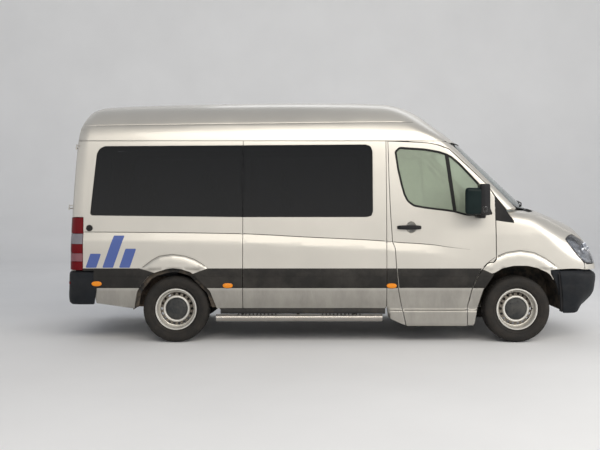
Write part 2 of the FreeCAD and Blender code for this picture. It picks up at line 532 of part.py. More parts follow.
def tyre():
    h = TYRE_W / 2
    return revolve([(TYRE_R - 8, -92), (TYRE_R, -70), (TYRE_R, 70), (TYRE_R - 8, 92), (TYRE_R - 45, h - 2), (TYRE_R - 80, h), (250, h - 12),
                    (RIM_R + 8, 88), (RIM_R + 8, -88), (250, -h + 12), (TYRE_R - 80, -h), (TYRE_R - 45, -h + 2)])


def rim():
    """Steel wheel: a dished disc in a well-base rim, the cap over its hub."""
    w = revolve([(200, -92), (220, -92), (220, -84), (RIM_R + 7.5, -84), (RIM_R + 7.5, -80), (208, -60), (208, 55), (RIM_R + 7.5, 80), (RIM_R + 7.5, 84), (220, 84), (220, 92), (204, 92), (199, 60), (199, -60)])
    d = revolve([(0, 36), (118, 36), (136, 48), (142, 44), (168, 26), (199.5, 10), (199.5, 2), (166, 16), (136, 32), (118, 24), (60, 24), (60, 12), (0, 12)])
    w = w.fuse(d)
    n = 18
    for k in range(n):
        a = 2 * math.pi * k / n
        w = w.cut(Part.makeCylinder(14, 60, V(161 * math.cos(a), -10, 161 * math.sin(a)), V(0, 1, 0)))
    cap = revolve([(0, 36.5), (0, 66), (70, 60), (105, 48), (117, 36.5)])
    return largest(w.fuse(cap.fuse(revolve([(0, 30), (0, 40), (60, 40), (60, 30)]))))


TY, RI = tyre(), rim()
for end, x, yc in (("front", X_FRONT, Y_FRONT), ("rear", X_REAR, Y_REAR)):
    for side, s in (("left", 1), ("right", -1)):
        for kind, sh in (("tyre", TY), ("wheel", RI)):
            q = sh.copy() if s > 0 else mirrored(sh)
            q.translate(V(x, s * yc, TYRE_R))
            keep(kind + "_" + end + "_" + side, q)

kn = Part.makeCylinder(30, 150, V(X_FRONT, Y_KING - 90, TYRE_R), V(0, 1, 0))
kn = kn.fuse(box(X_FRONT - 50, X_FRONT + 50, 700, 740, 268, 560)).fuse(Part.makeCylinder(140, 22, V(X_FRONT, 742, TYRE_R), V(0, 1, 0)))
kn = kn.fuse(box(X_FRONT - 30, X_FRONT + 30, 660, 702, 520, 560))
kn = largest(kn.removeSplitter())
keep("knuckle_left", kn)
keep("knuckle_right", mirrored(kn))

# ---- cab inside ------------------------------------------------------------------------------------------------
DASH = [(1560, 1000), (1500, 1090), (1500, 1200), (1560, 1310), (1700, 1370), (1872, 1372), (1878, 1000)]
dash = side_prism(DASH, -835, 835)
for s in (-1, 1):
    dash = dash.cut(box(1400, 1760, min(s * 790, s * 900), max(s * 790, s * 900), 900, 1500))
dash = dash.common(cabin_volume(WALL + 12)).cut(NODES["cowl"])
col = Part.makeCylinder(28, 190, V(1404, 430, 1253.4), V(1, 0, -0.45))
keep("dashboard", largest(dash.fuse(col)))
wheel_rim = Part.makeTorus(185, 15, V(0, 0, 0), V(0, 0, 1))
wheel_hub = Part.makeCylinder(62, 40, V(0, 0, -20)).fuse(Part.makeCylinder(22, 37, V(0, 0, -37)))
sp = wheel_rim.fuse(wheel_hub)
for a in (0, 180, 250, 290):
    b = Part.makeBox(140, 30, 14, V(50, -15, -7)); b.rotate(V(0, 0, 0), V(0, 0, 1), a)
    sp = sp.fuse(b)
tilt = math.degrees(math.atan2(1, 0.45))
sp.rotate(V(0, 0, 0), V(0, 1, 0), -tilt)
sp.rotate(V(0, 0, 0), V(0, 1, 0), 0)
sp.translate(V(1366, 430, 1270.5))
keep("steering_wheel", largest(sp))

# columns: x of the seat's front | y centre | width
FRONT_SEATS = [(1010, 455, 500), (1010, -455, 500)]
ROWS = [(60, 3), (-800, 3), (-1660, 3)]          # x of the row's front, seats in the row
SEAT_Y = {3: (620, 190, -560)}


def seat(x, y, w, z_cushion, high=720.0):
    h = w / 2
    s = side_prism([(x, z_cushion - 120), (x, z_cushion - 20), (x - 30, z_cushion), (x - 480, z_cushion - 35), (x - 480, z_cushion - 120)], y - h, y + h)
    bk = side_prism([(x - 440, z_cushion - 60), (x - 600, z_cushion + high - 150), (x - 690, z_cushion + high - 150), (x - 580, z_cushion - 60)], y - h + 10, y + h - 10)
    hd = side_prism([(x - 598, z_cushion + high - 160), (x - 622, z_cushion + high + 40), (x - 700, z_cushion + high + 40), (x - 690, z_cushion + high - 160)], y - 125, y + 125)
    base = box(x - 470, x - 60, y - h + 60, y + h - 60, Z_FLOOR + 1, z_cushion - 118)
    return largest(s.fuse(bk).fuse(hd).fuse(base))


keep("front_seats", Part.makeCompound([seat(x, y, w, 1085) for x, y, w in FRONT_SEATS]))
rows = []
for x, n in ROWS:
    for y in SEAT_Y[n]:
        rows.append(seat(x, y, 415, 1085, 690))
pass_seats = Part.makeCompound(rows)
for h in house_space:
    pass_seats = pass_seats.cut(h)
keep("passenger_seats", pass_seats)

# wiper arms and blades: thin bands that follow the glass, y and z of each end
WIPERS = [((-640, 1478), (-70, 1540)), ((110, 1478), (730, 1546))]
low = 1500.0
wiper_layer = plan_arc_prism(WS_X + low / math.tan(WS_SLOPE), WS_Z - low, WS_SLOPE, -26, 3200.0).cut(
    plan_arc_prism(WS_X + low / math.tan(WS_SLOPE), WS_Z - low, WS_SLOPE, -10, 3200.0))
keep("wipers", Part.makeCompound([largest(wiper_layer.common(end_prism([a, b, (b[0], b[1] + 14), (a[0], a[1] + 14)], 1500, 2600))) for a, b in WIPERS]))

for name, shape in sorted(NODES.items()):
    print(name, len(shape.Solids), shape.isValid(), round(shape.Volume / 1e9, 5), [round(v) for v in (shape.BoundBox.XMin, shape.BoundBox.XMax, shape.BoundBox.YMin, shape.BoundBox.YMax, shape.BoundBox.ZMin, shape.BoundBox.ZMax)])
    shape.exportStep("parts/" + name + ".step")
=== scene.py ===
import bpy, bmesh, math
import numpy as np
from mathutils import Vector, Matrix
from mathutils.geometry import delaunay_2d_cdt


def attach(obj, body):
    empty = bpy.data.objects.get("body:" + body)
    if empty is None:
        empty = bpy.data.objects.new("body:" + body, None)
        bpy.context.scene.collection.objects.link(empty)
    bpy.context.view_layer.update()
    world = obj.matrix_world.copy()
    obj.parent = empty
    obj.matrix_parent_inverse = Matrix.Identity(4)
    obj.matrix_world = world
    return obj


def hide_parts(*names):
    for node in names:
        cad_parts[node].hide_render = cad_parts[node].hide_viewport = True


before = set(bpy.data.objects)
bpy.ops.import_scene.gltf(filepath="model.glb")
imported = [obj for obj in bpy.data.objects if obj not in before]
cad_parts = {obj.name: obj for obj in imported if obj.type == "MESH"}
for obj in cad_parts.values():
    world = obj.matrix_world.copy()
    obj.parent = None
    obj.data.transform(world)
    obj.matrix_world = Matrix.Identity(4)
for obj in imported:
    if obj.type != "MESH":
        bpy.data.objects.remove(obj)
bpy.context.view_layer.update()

RNG = np.random.default_rng(7)
MM = 0.001

# ---------------------------------------------------------------- maths helpers


def curve(points):
    """Smooth monotone curve through (x, y) points; straight beyond the ends."""
    t = np.array(sorted(points), float)
    X, Y = t[:, 0], t[:, 1]
    h = np.diff(X)
    d = np.diff(Y) / h
    m = np.zeros(len(X))
    m[0], m[-1] = d[0], d[-1]
    for i in range(1, len(X) - 1):
        if d[i - 1] * d[i] > 0:
            w1, w2 = 2 * h[i] + h[i - 1], h[i] + 2 * h[i - 1]
            m[i] = (w1 + w2) / (w1 / d[i - 1] + w2 / d[i])

    def f(x):
        x = np.asarray(x, float)
        i = np.clip(np.searchsorted(X, x) - 1, 0, len(h) - 1)
        s = np.clip((x - X[i]) / h[i], 0, 1)
        a, b, c, e = Y[i], Y[i + 1], m[i] * h[i], m[i + 1] * h[i]
        v = (2 * s**3 - 3 * s**2 + 1) * a + (s**3 - 2 * s**2 + s) * c + (3 * s**2 - 2 * s**3) * b + (s**3 - s**2) * e
        return v + np.where(x < X[0], (x - X[0]) * m[0], 0) + np.where(x > X[-1], (x - X[-1]) * m[-1], 0)

    return f


def smooth(t):
    t = np.clip(t, 0, 1)
    return t * t * (3 - 2 * t)


def smin(a, b, k):
    h = np.maximum(k - np.abs(a - b), 0) / k
    return np.minimum(a, b) - h * h * k * 0.25


def poly_distance(px, pz, poly, closed=True):
    """Signed distance in 2D, positive inside a closed outline."""
    P = np.array(poly, float)
    Q = np.roll(P, -1, 0)
    if not closed:
        P, Q = P[:-1], Q[:-1]
    best = np.full(px.shape, 1e18)
    inside = np.zeros(px.shape, bool)
    for (ax, az), (bx, bz) in zip(P, Q):
        dx, dz = bx - ax, bz - az
        t = np.clip(((px - ax) * dx + (pz - az) * dz) / (dx * dx + dz * dz + 1e-12), 0, 1)
        best = np.minimum(best, (px - ax - t * dx) ** 2 + (pz - az - t * dz) ** 2)
        if closed:
            c = ((az > pz) != (bz > pz)) & (px < (bx - ax) * (pz - az) / (bz - az + 1e-12) + ax)
            inside ^= c
    d = np.sqrt(best)
    return np.where(inside, d, -d) if closed else d


def rounded(points, r=20.0, step=28.0):
    """Outline with its corners rounded (a point may carry its own radius) and its sides divided."""
    pts = [(p[0], p[1], p[2] if len(p) > 2 else r) for p in points]
    out = []
    n = len(pts)
    for i in range(n):
        a, b, c = np.array(pts[i - 1][:2]), np.array(pts[i][:2]), np.array(pts[(i + 1) % n][:2])
        rad = pts[i][2]
        u, v = a - b, c - b
        lu, lv = np.linalg.norm(u), np.linalg.norm(v)
        u, v = u / lu, v / lv
        cosang = np.clip(np.dot(u, v), -1, 1)
        half = math.acos(cosang) / 2
        if rad < 0.5 or half > math.radians(88.5):
            out.append(b)
            continue
        cut = min(rad / math.tan(half), 0.45 * lu, 0.45 * lv)
        rr = cut * math.tan(half)
        p0, p1 = b + u * cut, b + v * cut
        centre = b + (u + v) / np.linalg.norm(u + v) * (rr / math.sin(half))
        sweep = math.pi - 2 * half
        k = max(2, int(math.ceil(sweep / math.radians(14))))
        a0 = math.atan2(*(p0 - centre)[::-1])
        a1 = math.atan2(*(p1 - centre)[::-1])
        da = (a1 - a0 + math.pi) % (2 * math.pi) - math.pi
        for j in range(k + 1):
            ang = a0 + da * j / k
            out.append(centre + rr * np.array([math.cos(ang), math.sin(ang)]))
    dense = []
    m = len(out)
    for i in range(m):
        p, q = out[i], out[(i + 1) % m]
        L = np.linalg.norm(q - p)
        if L < 0.4:
            continue
        k = max(1, int(round(L / step)))
        for j in range(k):
            dense.append(p + (q - p) * j / k)
    return np.array(dense)


def inset(outline, d):
    """Closed outline moved inwards by d (outwards when negative)."""
    P = np.array(outline, float)
    A, B = np.roll(P, 1, 0), np.roll(P, -1, 0)
    area = np.sum(P[:, 0] * B[:, 1] - B[:, 0] * P[:, 1])
    s = 1.0 if area > 0 else -1.0
    u = P - A
    v = B - P
    u /= np.linalg.norm(u, axis=1)[:, None] + 1e-12
    v /= np.linalg.norm(v, axis=1)[:, None] + 1e-12
    n1 = np.stack([-u[:, 1], u[:, 0]], 1) * s
    n2 = np.stack([-v[:, 1], v[:, 0]], 1) * s
    k = np.maximum(1 + np.sum(n1 * n2, 1), 0.35)
    return P + d * (n1 + n2) / k[:, None]


def line_pts(pts, step=25.0):
    out = []
    for a, b in zip(pts, pts[1:]):
        a, b = np.array(a[:2], float), np.array(b[:2], float)
        k = max(1, int(round(np.linalg.norm(b - a) / step)))
        out += [a + (b - a) * j / k for j in range(k)]
    out.append(np.array(pts[-1][:2], float))
    return np.array(out)


# ---------------------------------------------------------------- the body's surface, in mm
GUTTER = curve([(-2915, 888), (200, 888), (560, 886), (1000, 868), (1500, 835), (2400, 775)])
TOP = curve([(-2915, 2612), (-2700, 2626), (-2300, 2648), (-1200, 2677), (-400, 2687), (200, 2684), (560, 2672), (1000, 2645), (1600, 2640)])
SIDE0 = curve([(180, 905), (300, 922), (363, 940), (420, 958), (500, 973), (580, 979), (680, 981), (800, 980), (980, 976), (1160, 968),
               (1400, 955), (1700, 934), (1950, 912), (2159, 889), (2352, 851), (2500, 812), (2800, 700)])
LOSS = curve([(1600, 0), (1760, 1), (2077, 5), (2300, 16), (2562, 44), (2700, 82), (2795, 139), (2862, 219), (2888, 308), (2903, 430), (2912, 600), (2917, 800), (2919, 980)])
STEP = curve([(180, 986), (200, 991), (330, 992), (346, 987), (366, 962), (420, 966), (520, 973), (600, 979)])
BELT = [(-2760, 1186), (-2000, 1181), (-1025, 1167), (-300, 1131), (520, 1089), (606, 1080), (1035, 1050), (1228, 1022), (1453, 997)]
BELT_Z = curve(BELT)
BELT_FADE = curve([(-2900, 1), (900, 1), (1453, 0), (1500, 0)])
X_REAR, X_FRONT, Z_HUB, TYRE_R = -1714.0, 1951.0, 338.0, 356.0
FRONT_ARCH = [(-470, -180), (-441, -5), (-367, 234), (-247, 415), (-156, 467), (-51, 490), (98, 490), (219, 460), (339, 407), (414, 294), (444, 176), (464, 5), (464, -180)]
REAR_ARCH = [(-447, -180), (-447, 22), (-409, 215), (-377, 268), (-292, 375), (-214, 418), (-105, 451), (-22, 462), (66, 451), (168, 418), (264, 322), (371, 215), (446, 12), (450, -180)]
FRONT_FLARE = [(-470, 200), (-410, 400), (-397, 442), (-337, 511), (-247, 578), (-127, 631), (23, 653), (173, 631), (294, 571), (398, 496), (451, 436), (520, 300), (520, -200), (-470, -200)]
REAR_FLARE = [(-430, 300), (-410, 420), (-377, 453), (-254, 547), (-174, 592), (-35, 611), (99, 594), (202, 557), (284, 509), (348, 458), (400, 380), (420, 250), (420, -200), (-430, -200)]


def around(outline, x0, z0=Z_HUB):
    return [(x0 + x, z0 + z) for x, z in outline]


FLARE_R = rounded(around(REAR_FLARE, X_REAR), 60, 30)
FLARE_F = rounded(around(FRONT_FLARE, X_FRONT), 60, 30)


FRONT_FLARE_ON = [1.0]


def flare_bump(x, z):
    out = np.zeros(np.shape(x))
    for ring, height in ((FLARE_R, 19.0), (FLARE_F, 19.0)):
        if ring is FLARE_F and not FRONT_FLARE_ON[0]:
            continue
        near = (x > ring[:, 0].min() - 5) & (x < ring[:, 0].max() + 5) & (z < ring[:, 1].max() + 5)
        if near.any():
            d = poly_distance(x[near], z[near], ring)
            b = np.where(d > 0, height * np.sin(np.clip(d / 80, 0, 1) * math.pi / 2), 0.0) - 4.5 * np.exp(-((d - 1.0) / 4.5) ** 2)
            o = np.zeros(np.shape(x))
            o[near] = b * smooth((z[near] - 786.0) / 26.0)
            out = np.where(np.abs(o) > 0.02, o, out)
    return out


def side_y(x, z, plain=False):
    g = 888.0 - GUTTER(x)
    w = np.clip((z - 1160) / 999.0, 0, 1.25) ** 1.1
    y = SIDE0(z) - g * w
    if plain:
        return y
    # belt crease: a sharp dark line over a bright band that faces up
    d = z - BELT_Z(x)
    f = BELT_FADE(x) * (x < 1500)
    up = -10.0 * smooth((6.0 - d) / 8.0)
    dn = -10.0 + 18.0 * np.clip(-d / 95.0, 0, 1)
    fade = np.where(d < -95, smooth((d + 330) / 235.0), 1.0)
    y = y + f * np.where(d > -2, up, np.where(d > -95, dn, 8.0 * fade))
    # rolled lower lip of the sill
    y = y + 5.0 * np.exp(-((z - 377.0) / 9.0) ** 2) * (x < 1400)
    y = y + flare_bump(x, z)
    return y


LEAN = curve([(250, -2880), (770, -2878), (1047, -2876), (1312, -2869), (1953, -2837), (2427, -2798), (2800, -2766)])


def lean_x(z):
    return LEAN(z)


WS_R, WS_X, WS_Z = 1500.0, 2259.0, 1425.0
TAN_WS, SIN_WS = math.tan(math.radians(43.2)), math.sin(math.radians(43.2))
TAN_CAP, SIN_CAP = math.tan(math.radians(35.5)), math.sin(math.radians(35.5))


def bulge(y):
    return WS_R - np.sqrt(np.maximum(WS_R**2 - y**2, 1.0))


def ws_x(y, z):
    return WS_X - (z - WS_Z) / TAN_WS - bulge(y)


def f_cab(P):
    x, y, z = P[:, 0], P[:, 1], P[:, 2]
    a = np.abs(y)
    side = (side_y(x, z) - a) * 0.985
    # upper crease of the roof side
    side = side - 6.0 * np.exp(-((z - (2338 + 0.0125 * (x + 2613))) / 5.0) ** 2) * smooth((x + 2800) / 60.0) * smooth((900 - x) / 300.0)
    roof = TOP(x) - 20.0 - 104.0 * (a / 690.0) ** 2.2 - z
    body = smin(side, roof, 250.0)
    ws = (ws_x(y, z) - x) * SIN_WS
    cap = (1447.0 - (z - 2188.0) / TAN_CAP - bulge(y) - x) * SIN_CAP
    front = smin(ws, cap, 24.0)
    kf = 60.0 + 75.0 * smooth((z - 2150.0) / 260.0)
    body = smin(body, front, kf)
    tail = (x - lean_x(z) - 14.0 * (a / 900.0) ** 2.5) * 0.994
    kt = 140.0 + 70.0 * smooth((z - 2280.0) / 200.0)
    return smin(body, tail, kt)


NOSE_TOP = curve([(1480, 1502), (1760, 1492), (2077, 1468), (2240, 1440), (2313, 1424), (2385, 1396), (2529, 1338), (2674, 1278), (2760, 1236), (2818, 1200), (2880, 1150), (2960, 1060)])
NOSE_DROP = curve([(1700, 40), (2077, 56), (2300, 98), (2562, 140), (2700, 165), (2795, 190), (2900, 215)])


def f_nose(P):
    x, y, z = P[:, 0], P[:, 1], P[:, 2]
    a = np.abs(y)
    xs = x + 0.30 * np.maximum(z - 880.0, 0) + 0.00035 * np.maximum(z - 880.0, 0) ** 2
    loss = LOSS(xs)
    slope = (LOSS(xs + 1.0) - LOSS(xs - 1.0)) / 2.0
    side = (side_y(x, z) - loss - a) / np.sqrt(1.0 + slope**2 * 1.09)
    over = NOSE_TOP(x) - NOSE_DROP(x) * (a / 755.0) ** 2.3 - z
    # a soft fold along the bonnet's edge
    over = over + 5.0 * np.exp(-((a - 560.0 + 0.06 * (x - 2300)) / 60.0) ** 2) * smooth((x - 2150) / 200.0)
    k = 120.0 + 90.0 * smooth((x - 2100) / 400.0)
    return smin(side, over * 0.93, k)


def offset_field(f, d):
    return lambda P: f(P) + d


def solve(f, O, D, lo, hi, n=34):
    """Where the field crosses zero along rays from inside."""
    a = np.full(len(O), float(lo))
    b = np.full(len(O), float(hi))
    for _ in range(n):
        m = (a + b) / 2
        v = f(O + D * m[:, None])
        inside = v > 0
        a = np.where(inside, m, a)
        b = np.where(inside, b, m)
    return O + D * ((a + b) / 2)[:, None]


def normals(f, P, e=1.2):
    g = np.stack([f(P + np.array(v)) - f(P - np.array(v)) for v in ((e, 0, 0), (0, e, 0), (0, 0, e))], 1)
    g = -g
    return g / (np.linalg.norm(g, axis=1)[:, None] + 1e-12)


# ---------------------------------------------------------------- panels
def fill(outline, holes=(), lines=(), grid=30.0, margin=0.45, extra=None):
    """Triangles over an outline with holes, in 2D. Feature lines become edges."""
    verts, edges = [], []

    def loop(pts, closed):
        s = len(verts)
        verts.extend([(float(p[0]), float(p[1])) for p in pts])
        n = len(pts)
        for i in range(n if closed else n - 1):
            edges.append((s + i, s + (i + 1) % n))

    loop(outline, True)
    for h in holes:
        loop(h, True)
    nb = len(verts)
    O = np.array(outline)
    rings = [O] + [np.array(h) for h in holes]
    lines = [np.array(q) for q in lines]
    for q in lines:
        keep = poly_distance(q[:, 0], q[:, 1], O) > grid * 0.3
        for h in rings[1:]:
            keep &= poly_distance(q[:, 0], q[:, 1], h) < -grid * 0.3
        run = []
        for p, ok in list(zip(q, keep)) + [((0, 0), False)]:
            if ok:
                run.append(p)
            else:
                if len(run) > 1:
                    loop(run, False)
                run = []
    lo, hi = O.min(0), O.max(0)
    nx, nz = max(1, int((hi[0] - lo[0]) / grid)), max(1, int((hi[1] - lo[1]) / grid))
    gx, gz = np.meshgrid(np.linspace(lo[0], hi[0], nx + 1)[1:-1] if nx > 1 else np.array([]), np.linspace(lo[1], hi[1], nz + 1)[1:-1] if nz > 1 else np.array([]))
    g = np.stack([gx.ravel(), gz.ravel()], 1)
    if extra is not None:
        g = np.concatenate([g, np.array(extra, float)])
    if len(g):
        ok = poly_distance(g[:, 0], g[:, 1], O) > grid * margin
        for h in rings[1:]:
            ok &= poly_distance(g[:, 0], g[:, 1], h) < -grid * margin
        for q in lines:
            ok &= poly_distance(g[:, 0], g[:, 1], q, closed=False) > grid * 0.35
        verts.extend([(float(a), float(b)) for a, b in g[ok]])
    res = delaunay_2d_cdt([Vector(v) for v in verts], edges, [], 0, 1e-4, False)
    V2 = np.array([(v.x, v.y) for v in res[0]])
    T = np.array([f for f in res[2] if len(f) == 3])
    c = V2[T].mean(1)
    ok = poly_distance(c[:, 0], c[:, 1], O) > 0
    for h in rings[1:]:
        ok &= poly_distance(c[:, 0], c[:, 1], h) < 0
    T = T[ok]
    A, B, C = V2[T[:, 0]], V2[T[:, 1]], V2[T[:, 2]]
    area = (B[:, 0] - A[:, 0]) * (C[:, 1] - A[:, 1]) - (B[:, 1] - A[:, 1]) * (C[:, 0] - A[:, 0])
    T = T[np.abs(area) > 1e-3]
    area = area[np.abs(area) > 1e-3]
    T[area < 0] = T[area < 0][:, ::-1]
    used = np.unique(T)
    remap = -np.ones(len(V2), int)
    remap[used] = np.arange(len(used))
    return V2[used], remap[T]


def boundary(T):
    """Directed boundary edges of a triangle set."""
    e = {}
    for a, b, c in T:
        for u, v in ((a, b), (b, c), (c, a)):
            e[(int(u), int(v))] = 1
    return [(u, v) for (u, v) in e if (v, u) not in e]


def merge(parts):
    """Joins (P, T, N) parts, with points that meet made one."""
    P = np.concatenate([p[0] for p in parts])
    N = np.concatenate([p[2] for p in parts])
    T, o = [], 0
    for p in parts:
        T.append(p[1] + o)
        o += len(p[0])
    T = np.concatenate(T)
    key = np.round(P / 0.25).astype(np.int64)
    _, first, inv = np.unique(key, axis=0, return_index=True, return_inverse=True)
    inv = inv.ravel()
    T = inv[T]
    ok = (T[:, 0] != T[:, 1]) & (T[:, 1] != T[:, 2]) & (T[:, 0] != T[:, 2])
    return P[first], T[ok], N[first]


def make_object(name, V, F, loop_normals=None, mat=None, face_mat=None, mats=None):
    me = bpy.data.meshes.new(name)
    me.from_pydata([tuple(v) for v in np.asarray(V) * MM], [], [tuple(int(i) for i in f) for f in F])
    me.validate(clean_customdata=False)
    me.polygons.foreach_set("use_smooth", [True] * len(me.polygons))
    o = bpy.data.objects.new(name, me)
    bpy.context.scene.collection.objects.link(o)
    for m in (mats if mats is not None else [mat]):
        if m is not None:
            me.materials.append(m)
    if face_mat is not None and len(face_mat) == len(me.polygons):
        me.polygons.foreach_set("material_index", list(face_mat))
    me.update()
    if loop_normals is not None and len(loop_normals) == len(me.loops):
        me.normals_split_custom_set([tuple(n) for n in loop_normals])
    return o


def shell(name, P, T, N, thick=40.0, r=2.5, mats=(), inner_mat=1, flange=None):
    """A closed panel: the face, a rounded edge and a back, thick mm behind it."""
    P, T, N = np.asarray(P, float), np.asarray(T), np.asarray(N, float)
    # faces point outwards
    fn = np.cross(P[T[:, 1]] - P[T[:, 0]], P[T[:, 2]] - P[T[:, 0]])
    if np.sum(np.sum(fn * N[T[:, 0]], 1)) < 0:
        T = T[:, ::-1]
    bd = boundary(T)
    nxt, prv = {}, {}
    for u, v in bd:
        nxt.setdefault(u, v)
        prv.setdefault(v, u)
    ids = sorted(nxt)
    out = np.zeros((len(ids), 3))
    for k, i in enumerate(ids):
        t1 = P[nxt[i]] - P[i]
        t0 = P[i] - P[prv.get(i, i)]
        t1 = t1 / (np.linalg.norm(t1) + 1e-9)
        t0 = t0 / (np.linalg.norm(t0) + 1e-9)
        o1, o0 = np.cross(t1, N[i]), np.cross(t0, N[i])
        s = o1 + o0
        L = np.linalg.norm(s)
        s = s / (L + 1e-9)
        out[k] = s * min(1.0 / max(np.dot(s, o1), 0.5), 1.6)
    B, NB = P[ids], N[ids]
    # the given outline is the panel's true edge, so the face starts r inside it
    P = P.copy()
    P[ids] = B - out * r
    rings = [B - out * r * 0.29 - NB * r * 0.29, B - NB * r, B - NB * thick]
    nrm = [(NB + out) / 1.414, out, out]
    V = [P]
    base = len(P)
    idx = {i: k for k, i in enumerate(ids)}
    rid = []
    for q in rings:
        V.append(q)
        rid.append(base)
        base += len(ids)
    back = P - N * thick
    back[ids] = B - NB * thick
    V.append(back)
    bk = base
    V = np.concatenate(V)
    F, LN, FM = [], [], []
    for t in T:
        F.append(t)
        LN += [N[t[0]], N[t[1]], N[t[2]]]
        FM.append(0)
    zero = np.zeros(3)
    for u, v in bd:
        if u not in idx or v not in idx:
            continue
        a, b = idx[u], idx[v]
        chain = [(u, v, NB[a], NB[b])] + [(rid[k] + a, rid[k] + b, nrm[k][a], nrm[k][b]) for k in range(3)]
        for (p0, p1, n0, n1), (q0, q1, m0, m1) in zip(chain, chain[1:]):
            F.append((p1, p0, q0, q1))
            LN += [n1, n0, m0, m1]
            FM.append(0)
        F.append((rid[2] + b, rid[2] + a, bk + u, bk + v)) if False else None
    for t in T:
        F.append((bk + t[2], bk + t[1], bk + t[0]))
        LN += [-N[t[2]], -N[t[1]], -N[t[0]]]
        FM.append(inner_mat)
    # the last ring and the back's edge are the same points
    remap = np.arange(len(V))
    for k, i in enumerate(ids):
        remap[bk + i] = rid[2] + k
    F = [tuple(int(remap[j]) for j in f) for f in F]
    used = np.unique(np.concatenate([np.array(f) for f in F]))
    re2 = -np.ones(len(V), int)
    re2[used] = np.arange(len(used))
    F = [tuple(int(re2[j]) for j in f) for f in F]
    return make_object(name, V[used], F, LN, mats=list(mats), face_mat=FM)


def mirror_parts(part):
    P, T, N = part
    P, N = P.copy(), N.copy()
    P[:, 1] *= -1
    N[:, 1] *= -1
    return P, T[:, ::-1], N


def lift_side(f, s, back=0.0):
    """(x, z) to the surface of side s: -1 is the right side."""
    g = offset_field(f, -back) if back else f

    def go(uv):
        O = np.stack([uv[:, 0], np.full(len(uv), s * 300.0), uv[:, 1]], 1)
        D = np.tile([0.0, float(s), 0.0], (len(uv), 1))
        P = solve(g, O, D, 0, 760)
        return P, normals(g, P)

    return go


CORNER = 175.0


def lift_wrap(f, s, back=0.0):
    """(u, z) to the surface round the tail corner: u is x along the side, then runs on round the corner and across the tail."""
    g = offset_field(f, -back) if back else f

    def go(uv):
        u, z = uv[:, 0], uv[:, 1]
        xc = lean_x(np.minimum(z, 2330.0)) + CORNER
        ac = side_y(xc, np.minimum(z, 2330.0), True) - CORNER
        arc = CORNER * math.pi / 2
        th = np.clip((xc - u) / CORNER, 0, math.pi / 2)
        over = np.maximum(xc - u - arc, 0)
        ox = np.where(u >= xc, u, xc)
        oy = ac - over
        O = np.stack([ox, s * oy, z], 1)
        D = np.stack([-np.sin(th), s * np.cos(th), np.zeros(len(u))], 1)
        P = solve(g, O, D, -160, 420)
        return P, normals(g, P)

    return go


def lift_tail(f, back=0.0):
    g = offset_field(f, -back) if back else f

    def go(uv):
        O = np.stack([np.full(len(uv), -2300.0), uv[:, 0], uv[:, 1]], 1)
        D = np.tile([-1.0, 0.0, 0.0], (len(uv), 1))
        P = solve(g, O, D, 0, 700)
        return P, normals(g, P)

    return go


def lift_up(f, z0=1000.0, back=0.0):
    g = offset_field(f, -back) if back else f

    def go(uv):
        O = np.stack([uv[:, 0], uv[:, 1], np.full(len(uv), z0)], 1)
        D = np.tile([0.0, 0.0, 1.0], (len(uv), 1))
        P = solve(g, O, D, 0, 1800)
        return P, normals(g, P)

    return go


def surface(lift, outline, holes=(), lines=(), grid=30.0, extra=None):
    V2, T = fill(outline, holes, lines, grid, extra=extra)
    P, N = lift(V2)
    return P, T, N

# ---------------------------------------------------------------- materials


def material(name, **sockets):
    m = bpy.data.materials.new(name)
    m.use_nodes = True
    nt = m.node_tree
    nt.nodes.clear()
    out = nt.nodes.new("ShaderNodeOutputMaterial")
    b = nt.nodes.new("ShaderNodeBsdfPrincipled")
    nt.links.new(b.outputs[0], out.inputs[0])
    for k, v in sockets.items():
        b.inputs[k.replace("_", " ")].default_value = v
    tc = nt.nodes.new("ShaderNodeTexCoord")
    return m, nt, b, tc.outputs["Object"]


def noise(nt, co, scale, detail=3.0, rough=0.55, stretch=None):
    if stretch is not None:
        mp = nt.nodes.new("ShaderNodeMapping")
        mp.inputs["Scale"].default_value = stretch
        nt.links.new(co, mp.inputs["Vector"])
        co = mp.outputs[0]
    n = nt.nodes.new("ShaderNodeTexNoise")
    n.inputs["Scale"].default_value = scale
    n.inputs["Detail"].default_value = detail
    n.inputs["Roughness"].default_value = rough
    nt.links.new(co, n.inputs["Vector"])
    return n.outputs[0]


def ramp(nt, fac, stops):
    r = nt.nodes.new("ShaderNodeValToRGB")
    r.color_ramp.elements[0].position, r.color_ramp.elements[0].color = stops[0][0], (*stops[0][1], 1)
    r.color_ramp.elements[1].position, r.color_ramp.elements[1].color = stops[-1][0], (*stops[-1][1], 1)
    for p, c in stops[1:-1]:
        e = r.color_ramp.elements.new(p)
        e.color = (*c, 1)
    nt.links.new(fac, r.inputs[0])
    return r.outputs[0]


def to_range(nt, v, a, b, lo=0.0, hi=1.0):
    n = nt.nodes.new("ShaderNodeMapRange")
    n.inputs[1].default_value, n.inputs[2].default_value = lo, hi
    n.inputs[3].default_value, n.inputs[4].default_value = a, b
    nt.links.new(v, n.inputs[0])
    return n.outputs[0]


def mix(nt, fac, a, b, how="MIX"):
    n = nt.nodes.new("ShaderNodeMix")
    n.data_type = "RGBA"
    n.blend_type = how
    for sock, v in ((n.inputs[0], fac), (n.inputs[6], a), (n.inputs[7], b)):
        if isinstance(v, (int, float)):
            sock.default_value = v
        elif isinstance(v, tuple):
            sock.default_value = (*v, 1)
        else:
            nt.links.new(v, sock)
    return n.outputs[2]


def bump(nt, b, height, strength=0.3, distance=0.001, under=None):
    n = nt.nodes.new("ShaderNodeBump")
    n.inputs["Strength"].default_value = strength
    n.inputs["Distance"].default_value = distance
    nt.links.new(height, n.inputs["Height"])
    if under is not None:
        nt.links.new(under, n.inputs["Normal"])
    nt.links.new(n.outputs[0], b.inputs["Normal"])
    return n.outputs[0]


